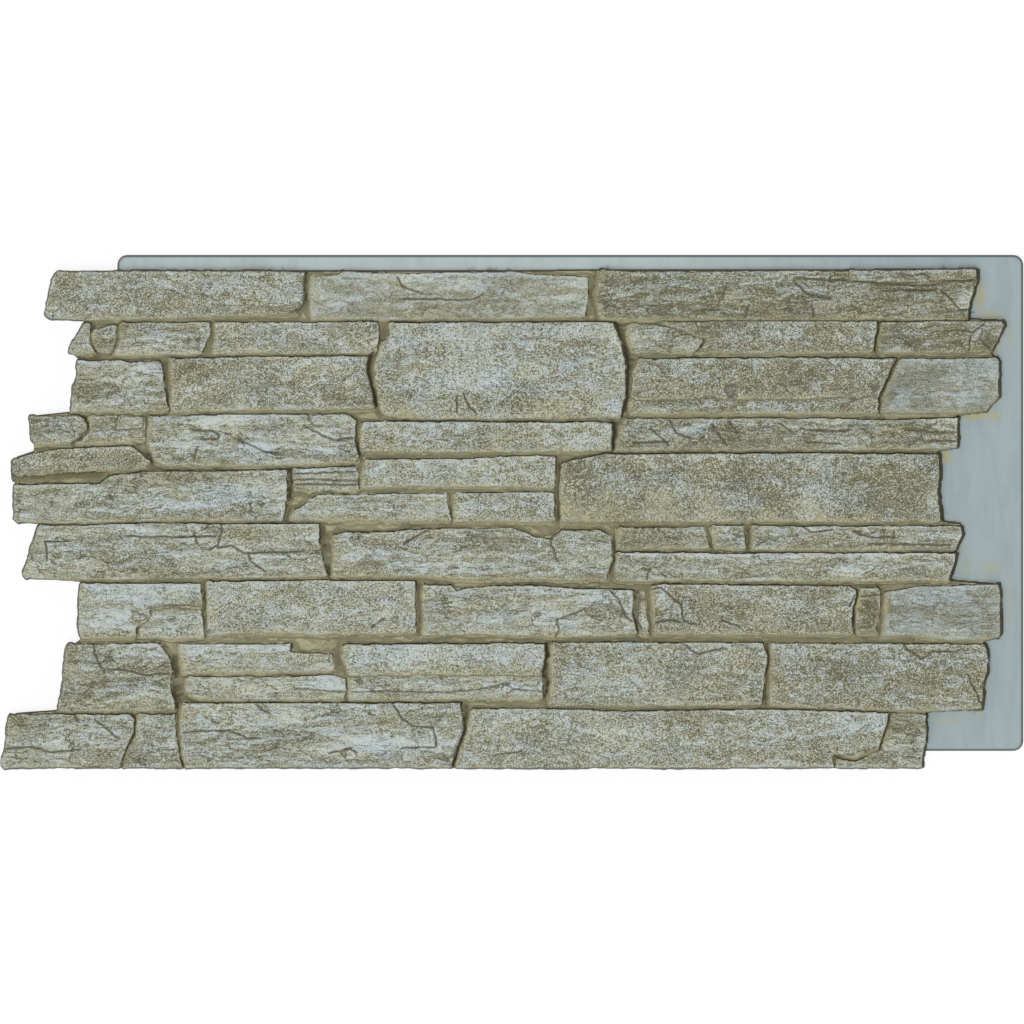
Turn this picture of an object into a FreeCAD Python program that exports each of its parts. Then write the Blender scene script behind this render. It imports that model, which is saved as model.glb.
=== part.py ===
import FreeCAD, Part
import os
import Sketcher

# Faux stone wall panel, moulded in one piece, lying flat on its back.
# Millimetres. Every outline is measured from the lower left corner of the panel, x to the right and
# y up, and the finished panel is then set with its origin under the middle of its back.

# Driving sizes.
drivingSizes = {
    "panelLength": 1244.6,      # 49 inches, over the longest stones
    "panelWidth": 627.4,        # 24.5 inches and the trim of the flange
    "lapLeft": 142,             # how far the stones reach past the base plate on the left
    "lapBottom": 23.8,          # and at the bottom
    "plateThickness": 10,
    "plateCorner": 12,          # radius of the base plate's corners, seen from the front
    "rimRound": 4,              # rounding along the flange's front edge, where no stone covers it
    "coveredRight": 1129,       # the stones cover the plate's bottom edge as far as here
    "coveredTop": 613,          # and its left edge up to here
    "bedHeight": 21.5,          # level of the mortar between the stones, from the back
    "wallDraft": 12,            # degrees, so that the panel leaves its mould
    "footSink": 2,              # how deep a stone's foot reaches into the mortar
    "sunkRise": 3,              # stone faces above the mortar, from the deepest to the proudest
    "lowRise": 4.4,
    "plainRise": 6,
    "highRise": 7.6,
    "proudRise": 10.25,
}

# The mortar bed's outline, clockwise from its top left corner.
bedOutline = [
    (74, 606), (1187, 609), (1187, 596), (1177, 562), (1177, 549), (1216, 547), (1219, 542),
    (1216, 532), (1204, 508), (1213, 497), (1213, 456), (1198, 438), (1163, 433), (1163, 394),
    (1140, 389), (1141, 365), (1139, 341), (1142, 303), (1167, 300), (1167, 288), (1161, 268),
    (1159, 253), (1154, 231), (1212, 226), (1215, 220), (1214, 164), (1195, 158), (1199, 139),
    (1199, 121), (1193, 77), (1125, 72), (1124, 36), (1119, 6), (9, 6), (13, 38), (13, 56),
    (20, 69), (75, 73), (76, 80), (86, 150), (100, 160), (99, 231), (34, 236), (52, 301),
    (22, 305), (20, 352), (21, 381), (42, 388), (44, 431), (91, 436), (93, 466), (99, 478),
    (97, 500), (88, 509), (103, 534), (104, 548), (66, 551), (61, 560),
]

# The stones, course by course from the top: the level of each face and its outline.
firstCourse = {
    "longLeft": ("highRise", [
        (72, 608), (243, 609), (372, 608), (371, 572), (361, 557), (182, 551), (64, 550),
        (58, 556), (64, 586)]),
    "smooth": ("lowRise", [
        (380, 602), (409, 604), (416, 608), (493, 606), (623, 608), (639, 605), (715, 602),
        (717, 584), (712, 554), (548, 551), (381, 550), (378, 584)]),
    "longRight": ("plainRise", [
        (733, 610), (779, 608), (1029, 609), (1189, 611), (1189, 596), (1176, 551), (732, 551),
        (726, 576)]),
    "longRightLedge": ("highRise", [
        (1034, 610), (1189, 611), (1187, 599), (1036, 597)]),
}
secondCourse = {
    "wedge": ("lowRise", [
        (105, 545), (110, 545), (110, 521), (115, 509), (84, 508), (91, 522), (101, 534)]),
    "smallBlock": ("sunkRise", [
        (115, 538), (136, 544), (144, 544), (139, 511), (118, 513), (114, 520)]),
    "leftBlock": ("plainRise", [
        (149, 546), (256, 546), (256, 532), (246, 508), (141, 507), (148, 523)]),
    "layered": ("plainRise", [
        (261, 546), (459, 547), (462, 538), (462, 523), (459, 510), (365, 509), (260, 508),
        (264, 526)]),
    "big": ("proudRise", [
        (474, 546), (730, 547), (745, 546), (756, 521), (761, 487), (762, 456), (755, 431),
        (584, 430), (487, 431), (470, 434), (463, 444), (460, 475), (470, 487), (472, 493),
        (464, 509), (467, 523), (475, 531)]),
    "brokenCorner": ("sunkRise", [
        (764, 545), (797, 544), (828, 537), (855, 525), (849, 516), (838, 510), (774, 509),
        (767, 517)]),
    "middle": ("plainRise", [
        (804, 547), (901, 548), (1067, 548), (1063, 511), (962, 509), (848, 509), (862, 525),
        (840, 534)]),
    "rightEnd": ("highRise", [
        (1072, 546), (1132, 548), (1218, 548), (1221, 542), (1218, 532), (1206, 511),
        (1072, 510), (1070, 523)]),
}
thirdCourse = {
    "leftEnd": ("plainRise", [
        (95, 500), (148, 500), (159, 497), (194, 500), (199, 493), (200, 475), (205, 439),
        (89, 437), (91, 466), (97, 480)]),
    "pitted": ("highRise", [
        (209, 502), (261, 504), (450, 505), (447, 490), (456, 445), (451, 442), (209, 439),
        (210, 475)]),
    "ledged": ("plainRise", [
        (779, 503), (945, 504), (1090, 503), (1069, 460), (1068, 436), (767, 436), (771, 487)]),
    "ledgedUpper": ("highRise", [
        (780, 502), (945, 503), (1088, 502), (1075, 471), (1068, 455), (769, 453), (772, 487)]),
    "rightEnd": ("plainRise", [
        (1096, 502), (1211, 503), (1215, 497), (1215, 455), (1206, 448), (1200, 438),
        (1074, 437), (1074, 453)]),
}
fourthCourse = {
    "leftEnd": ("lowRise", [
        (42, 433), (97, 433), (103, 429), (107, 421), (104, 415), (87, 399), (43, 399),
        (39, 404), (39, 430)]),
    "sunk": ("sunkRise", [
        (112, 433), (178, 433), (178, 402), (96, 400), (110, 414)]),
    "sunkUpper": ("lowRise", [
        (143, 432), (177, 432), (176, 419), (143, 417)]),
    "cleft": ("plainRise", [
        (183, 432), (249, 434), (420, 435), (433, 428), (433, 402), (436, 383), (431, 376),
        (311, 373), (204, 372), (190, 378), (182, 404)]),
    "speckled": ("highRise", [
        (442, 425), (481, 426), (745, 425), (745, 391), (633, 390), (440, 390)]),
    "rightEnd": ("plainRise", [
        (760, 429), (1023, 430), (1072, 427), (1165, 431), (1165, 394), (1011, 392), (750, 391),
        (754, 407)]),
}
fifthCourse = {
    "leftEnd": ("plainRise", [
        (18, 380), (40, 387), (72, 392), (115, 395), (158, 396), (166, 393), (183, 377),
        (177, 370), (121, 367), (18, 361)]),
    "leftLedge": ("sunkRise", [
        (18, 365), (125, 366), (133, 362), (120, 356), (60, 355), (18, 354)]),
    "strata": ("sunkRise", [
        (358, 369), (433, 371), (437, 359), (437, 343), (360, 342), (357, 353)]),
    "pitted": ("plainRise", [
        (445, 380), (572, 381), (615, 384), (676, 384), (677, 371), (675, 345), (584, 348),
        (442, 347)]),
    "big": ("proudRise", [
        (686, 375), (694, 380), (737, 386), (852, 387), (1035, 387), (1142, 386), (1143, 365),
        (1141, 341), (1144, 305), (684, 305), (682, 341)]),
}
sixthCourse = {
    "leftEnd": ("highRise", [
        (20, 349), (121, 351), (134, 360), (182, 365), (350, 367), (350, 328), (345, 306),
        (243, 306), (23, 303), (20, 307)]),
    "shortLeft": ("lowRise", [
        (387, 337), (544, 338), (544, 325), (548, 314), (548, 306), (355, 306), (361, 319),
        (374, 328)]),
    "shortRight": ("plainRise", [
        (554, 339), (675, 340), (675, 305), (553, 305)]),
}
seventhCourse = {
    "leftEnd": ("highRise", [
        (50, 300), (109, 300), (182, 302), (390, 301), (389, 280), (398, 238), (243, 236),
        (33, 235), (31, 241), (41, 273)]),
    "cracked": ("lowRise", [
        (407, 288), (420, 292), (481, 292), (499, 295), (623, 297), (639, 292), (651, 285),
        (669, 283), (682, 294), (730, 294), (744, 286), (745, 255), (738, 233), (593, 235),
        (487, 239), (407, 239)]),
    "thinLeft": ("lowRise", [
        (754, 297), (856, 298), (859, 289), (863, 272), (752, 271)]),
    "thinMiddle": ("lowRise", [
        (866, 299), (905, 300), (908, 272), (871, 272)]),
    "thinRight": ("plainRise", [
        (916, 299), (1169, 299), (1170, 288), (1162, 270), (918, 271)]),
    "rightEnd": ("highRise", [
        (751, 266), (1163, 266), (1161, 253), (1154, 233), (750, 233)]),
}
eighthCourse = {
    "leftEnd": ("plainRise", [
        (100, 229), (244, 229), (247, 207), (246, 199), (209, 201), (182, 198), (182, 189),
        (167, 176), (166, 163), (100, 163), (97, 176)]),
    "leftChip": ("lowRise", [
        (166, 202), (246, 202), (249, 163), (160, 163)]),
    "long": ("plainRise", [
        (254, 231), (402, 233), (506, 232), (506, 207), (507, 170), (414, 168), (280, 170),
        (253, 165)]),
    "notched": ("highRise", [
        (516, 227), (548, 227), (554, 221), (593, 226), (645, 227), (682, 224), (771, 220),
        (769, 192), (774, 168), (682, 164), (584, 168), (516, 168)]),
    "sliver": ("sunkRise", [
        (777, 219), (784, 219), (788, 180), (788, 166), (780, 166), (776, 182)]),
    "pitted": ("highRise", [
        (794, 226), (804, 228), (1033, 226), (1042, 221), (1036, 185), (1037, 168), (797, 168),
        (794, 207)]),
    "upright": ("lowRise", [
        (1047, 224), (1067, 225), (1071, 219), (1072, 200), (1065, 168), (1043, 168),
        (1042, 190)]),
    "rightEnd": ("plainRise", [
        (1079, 219), (1096, 221), (1114, 225), (1214, 228), (1217, 219), (1217, 166),
        (1214, 162), (1148, 162), (1102, 168), (1074, 166), (1077, 180)]),
}
ninthCourse = {
    "leftEnd": ("plainRise", [
        (87, 155), (194, 156), (209, 132), (211, 121), (208, 114), (208, 99), (213, 85),
        (213, 75), (73, 75), (78, 103), (83, 148)]),
    "thinUpper": ("lowRise", [
        (219, 155), (355, 156), (353, 146), (406, 143), (407, 124), (280, 121), (224, 120),
        (222, 139)]),
    "thinLower": ("sunkRise", [
        (231, 115), (352, 116), (407, 118), (422, 113), (422, 97), (419, 88), (243, 88),
        (228, 97)]),
    "stepped": ("lowRise", [
        (421, 156), (663, 157), (665, 139), (660, 116), (661, 90), (427, 88), (427, 115),
        (417, 139)]),
    "steppedUpper": ("highRise", [
        (422, 155), (662, 156), (664, 139), (661, 119), (426, 118), (418, 139)]),
    "long": ("highRise", [
        (672, 157), (928, 157), (933, 139), (927, 82), (671, 81)]),
    "rightEnd": ("plainRise", [
        (939, 157), (1197, 155), (1201, 139), (1201, 121), (1196, 107), (1195, 75), (1084, 76),
        (938, 80)]),
}
tenthCourse = {
    "leftEnd": ("plainRise", [
        (20, 70), (158, 70), (165, 63), (165, 53), (144, 4), (7, 4), (4, 10), (11, 38),
        (10, 56), (14, 67)]),
    "upright": ("lowRise", [
        (171, 70), (214, 70), (215, 42), (222, 4), (150, 4), (152, 14), (168, 48)]),
    "long": ("highRise", [
        (223, 83), (560, 84), (565, 54), (560, 36), (549, 4), (227, 4), (221, 48)]),
    "chipped": ("highRise", [
        (576, 77), (667, 77), (755, 74), (945, 76), (1082, 72), (1079, 58), (1069, 31),
        (1039, 18), (1014, 21), (1014, 4), (555, 4), (570, 48)]),
    "rightEnd": ("sunkRise", [
        (1087, 71), (1127, 70), (1126, 36), (1121, 4), (1018, 4), (1018, 15), (1040, 13),
        (1073, 27), (1083, 54)]),
}
courses = {
    "first": firstCourse, "second": secondCourse, "third": thirdCourse,
    "fourth": fourthCourse, "fifth": fifthCourse, "sixth": sixthCourse,
    "seventh": seventhCourse, "eighth": eighthCourse, "ninth": ninthCourse,
    "tenth": tenthCourse,
}

# Stones whose walls are seen from the side: they run down to the base plate's front.
edgeStones = {
    "first": ("longLeft", "smooth", "longRight"),
    "second": ("wedge", "rightEnd"),
    "third": ("leftEnd", "rightEnd"),
    "fourth": ("leftEnd", "rightEnd"),
    "fifth": ("leftEnd", "leftLedge", "big"),
    "sixth": ("leftEnd",),
    "seventh": ("leftEnd", "thinRight", "rightEnd"),
    "eighth": ("leftEnd", "rightEnd"),
    "ninth": ("leftEnd", "rightEnd"),
    "tenth": ("leftEnd", "upright", "long", "chipped", "rightEnd"),
}


def makeSheet(doc):
    sheet = doc.addObject("Spreadsheet::Sheet", "sizes")
    for row, (name, value) in enumerate(drivingSizes.items(), start=1):
        sheet.set(f"A{row}", name)
        sheet.set(f"B{row}", str(value))
        sheet.setAlias(f"B{row}", name)
    doc.recompute()
    return sheet


def originPlane(body, role):
    for feature in body.Origin.OriginFeatures:
        if feature.Role == role:
            return feature
    raise ValueError(role)


def addPolygon(sketch, outline):
    count = len(outline)
    corners = [FreeCAD.Vector(x, y, 0) for x, y in outline]
    for index, corner in enumerate(corners):
        sketch.addGeometry(Part.LineSegment(corner, corners[(index + 1) % count]), False)
    for index in range(count):
        sketch.addConstraint(Sketcher.Constraint("Coincident", index, 2, (index + 1) % count, 1))


def makePlate(doc):
    # The plain base plate: a rectangle held by its sizes, with rounded corners and front rim.
    body = doc.addObject("PartDesign::Body", "basePlate")
    sketch = body.newObject("Sketcher::SketchObject", "plateOutline")
    sketch.AttachmentSupport = (originPlane(body, "XY_Plane"), [""])
    sketch.MapMode = "FlatFace"
    left = drivingSizes["lapLeft"]
    bottom = drivingSizes["lapBottom"]
    right = drivingSizes["panelLength"]
    top = drivingSizes["panelWidth"]
    addPolygon(sketch, [(left, bottom), (right, bottom), (right, top), (left, top)])
    for line, kind in enumerate(("Horizontal", "Vertical", "Horizontal", "Vertical")):
        sketch.addConstraint(Sketcher.Constraint(kind, line))
    places = (
        ("DistanceX", -1, 1, 0, 1, "lapLeft"),
        ("DistanceY", -1, 1, 0, 1, "lapBottom"),
        ("DistanceX", -1, 1, 1, 2, "panelLength"),
        ("DistanceY", -1, 1, 1, 2, "panelWidth"),
    )
    for kind, firstLine, firstEnd, secondLine, secondEnd, size in places:
        number = sketch.addConstraint(Sketcher.Constraint(
            kind, firstLine, firstEnd, secondLine, secondEnd, drivingSizes[size]))
        sketch.setExpression(f"Constraints[{number}]", f"sizes.{size}")
    pad = body.newObject("PartDesign::Pad", "platePad")
    pad.Profile = sketch
    pad.setExpression("Length", "sizes.plateThickness")
    doc.recompute()

    uprights = []
    for number, edge in enumerate(pad.Shape.Edges, start=1):
        if edge.BoundBox.ZLength > drivingSizes["plateThickness"] / 2:
            uprights.append(f"Edge{number}")
    corners = body.newObject("PartDesign::Fillet", "plateCorners")
    corners.Base = (pad, uprights)
    corners.setExpression("Radius", "sizes.plateCorner")
    doc.recompute()

    frontEdges = []
    for number, edge in enumerate(corners.Shape.Edges, start=1):
        if edge.BoundBox.ZMin > drivingSizes["plateThickness"] / 2:
            frontEdges.append(f"Edge{number}")
    rim = body.newObject("PartDesign::Fillet", "plateRim")
    rim.Base = (corners, frontEdges)
    rim.setExpression("Radius", "sizes.rimRound")
    doc.recompute()
    return body


def makeCoveredPlate(doc):
    # Under the stones the plate's edge stays square, as nothing there is left to round.
    block = doc.addObject("Part::Box", "coveredPlate")
    block.setExpression("Placement.Base.x", "sizes.lapLeft")
    block.setExpression("Placement.Base.y", "sizes.lapBottom")
    block.setExpression("Length", "sizes.coveredRight - sizes.lapLeft")
    block.setExpression("Width", "sizes.coveredTop - sizes.lapBottom")
    block.setExpression("Height", "sizes.plateThickness")
    return block


def makeBed(doc):
    # The mortar bed on the plate, with the same staggered ends as the stones.
    sketch = doc.addObject("Sketcher::SketchObject", "bedOutline")
    addPolygon(sketch, bedOutline)
    sketch.setExpression("Placement.Base.z", "sizes.plateThickness")
    bed = doc.addObject("Part::Extrusion", "mortarBed")
    bed.Base = sketch
    bed.DirMode = "Normal"
    bed.Solid = True
    bed.setExpression("LengthFwd", "sizes.bedHeight - sizes.plateThickness")
    return bed


def makeStone(doc, name, rise, outline, reachesPlate):
    # One stone: its face is drawn at its own level and its walls widen towards the back.
    sketch = doc.addObject("Sketcher::SketchObject", name + "Face")
    addPolygon(sketch, outline)
    sketch.setExpression("Placement.Base.z", f"sizes.bedHeight + sizes.{rise}")
    stone = doc.addObject("Part::Extrusion", name)
    stone.Base = sketch
    stone.DirMode = "Normal"
    stone.Solid = True
    stone.LengthFwd = 0
    if reachesPlate:
        depth = f"sizes.bedHeight + sizes.{rise} - sizes.plateThickness"
    else:
        depth = f"sizes.{rise} + sizes.footSink"
    stone.setExpression("LengthRev", depth)
    stone.setExpression("TaperAngleRev", "sizes.wallDraft")
    return stone


def makePanel(doc):
    pieces = [makePlate(doc), makeCoveredPlate(doc), makeBed(doc)]
    for course, stones in courses.items():
        for name, (rise, outline) in stones.items():
            fullName = course + name[0].upper() + name[1:]
            reachesPlate = name in edgeStones[course]
            pieces.append(makeStone(doc, fullName, rise, outline, reachesPlate))
    panel = doc.addObject("Part::MultiFuse", "stone_panel")
    panel.Shapes = pieces
    panel.Refine = True
    panel.setExpression("Placement.Base.x", "-sizes.panelLength / 2")
    panel.setExpression("Placement.Base.y", "-sizes.panelWidth / 2")
    panel.Label = "stone_panel"
    return panel


def checkDocument(doc):
    for item in doc.Objects:
        if "Invalid" in item.State or "Error" in item.State:
            raise RuntimeError(f"{item.Name} did not build: {item.State}")
        if hasattr(item, "Shape") and not item.isDerivedFrom("App::OriginFeature"):
            if item.Shape.isNull() or not item.Shape.isValid():
                raise RuntimeError(f"{item.Name} has a bad shape")


doc = FreeCAD.newDocument("stonePanel")
makeSheet(doc)
panel = makePanel(doc)
doc.recompute()
checkDocument(doc)
if len(panel.Shape.Solids) != 1:
    raise RuntimeError(f"the panel came out as {len(panel.Shape.Solids)} solids")
box = panel.Shape.BoundBox
print("panel", round(box.XLength, 2), round(box.YLength, 2), round(box.ZLength, 2))
print("litres", round(panel.Shape.Volume / 1e6, 3), "faces", len(panel.Shape.Faces))

os.makedirs("parts", exist_ok=True)
panel.Shape.exportStep("parts/stone_panel.step")
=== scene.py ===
import math
import bmesh
import bpy
import numpy as np
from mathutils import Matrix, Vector


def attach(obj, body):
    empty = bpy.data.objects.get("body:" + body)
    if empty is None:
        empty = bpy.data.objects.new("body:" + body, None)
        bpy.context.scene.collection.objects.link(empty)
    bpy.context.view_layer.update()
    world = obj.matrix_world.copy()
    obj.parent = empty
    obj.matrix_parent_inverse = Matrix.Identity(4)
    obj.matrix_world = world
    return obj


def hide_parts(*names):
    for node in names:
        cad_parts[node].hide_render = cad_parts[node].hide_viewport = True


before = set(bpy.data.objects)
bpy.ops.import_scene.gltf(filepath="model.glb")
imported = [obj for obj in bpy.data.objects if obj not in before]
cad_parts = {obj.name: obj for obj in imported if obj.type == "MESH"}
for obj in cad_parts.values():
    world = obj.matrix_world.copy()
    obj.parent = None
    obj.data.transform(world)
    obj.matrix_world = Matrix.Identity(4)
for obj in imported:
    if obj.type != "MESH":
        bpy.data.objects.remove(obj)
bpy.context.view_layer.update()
print("frame loaded")

# Places on the panel are in millimetres from its lower left corner, x to the right, y up and z out of
# the wall. They become metres in the CAD frame only when the mesh is made.
panel = {
    "node": "stone_panel",
    "length": 1244.6,
    "width": 627.4,
    "lapLeft": 142.0,        # stones reach this far past the base plate on the left
    "lapBottom": 23.8,       # and at the bottom
    "plate": 10.0,           # thickness of the base plate
    "corner": 12.0,          # its corners, seen from the front
    "rim": 4.0,              # rounding of the flange's front edge
    "bed": 21.5,             # level of the mortar
    "depth": 31.75,          # nothing stands higher
    "pitch": 1.1,            # spacing of the carved grid
    "margin": 6.0,           # grid beyond the panel on every side
}

# Mortar bed, clockwise from its top left corner.
bedOutline = [
    (74, 606), (1187, 609), (1187, 596), (1177, 562), (1177, 549), (1216, 547), (1219, 542),
    (1216, 532), (1204, 508), (1213, 497), (1213, 456), (1198, 438), (1163, 433), (1163, 394),
    (1140, 389), (1141, 365), (1139, 341), (1142, 303), (1167, 300), (1167, 288), (1161, 268),
    (1159, 253), (1154, 231), (1212, 226), (1215, 220), (1214, 164), (1195, 158), (1199, 139),
    (1199, 121), (1193, 77), (1125, 72), (1124, 36), (1119, 6), (9, 6), (13, 38), (13, 56),
    (20, 69), (75, 73), (76, 80), (86, 150), (100, 160), (99, 231), (34, 236), (52, 301),
    (22, 305), (20, 352), (21, 381), (42, 388), (44, 431), (91, 436), (93, 466), (99, 478),
    (97, 500), (88, 509), (103, 534), (104, 548), (66, 551), (61, 560),
]

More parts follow.
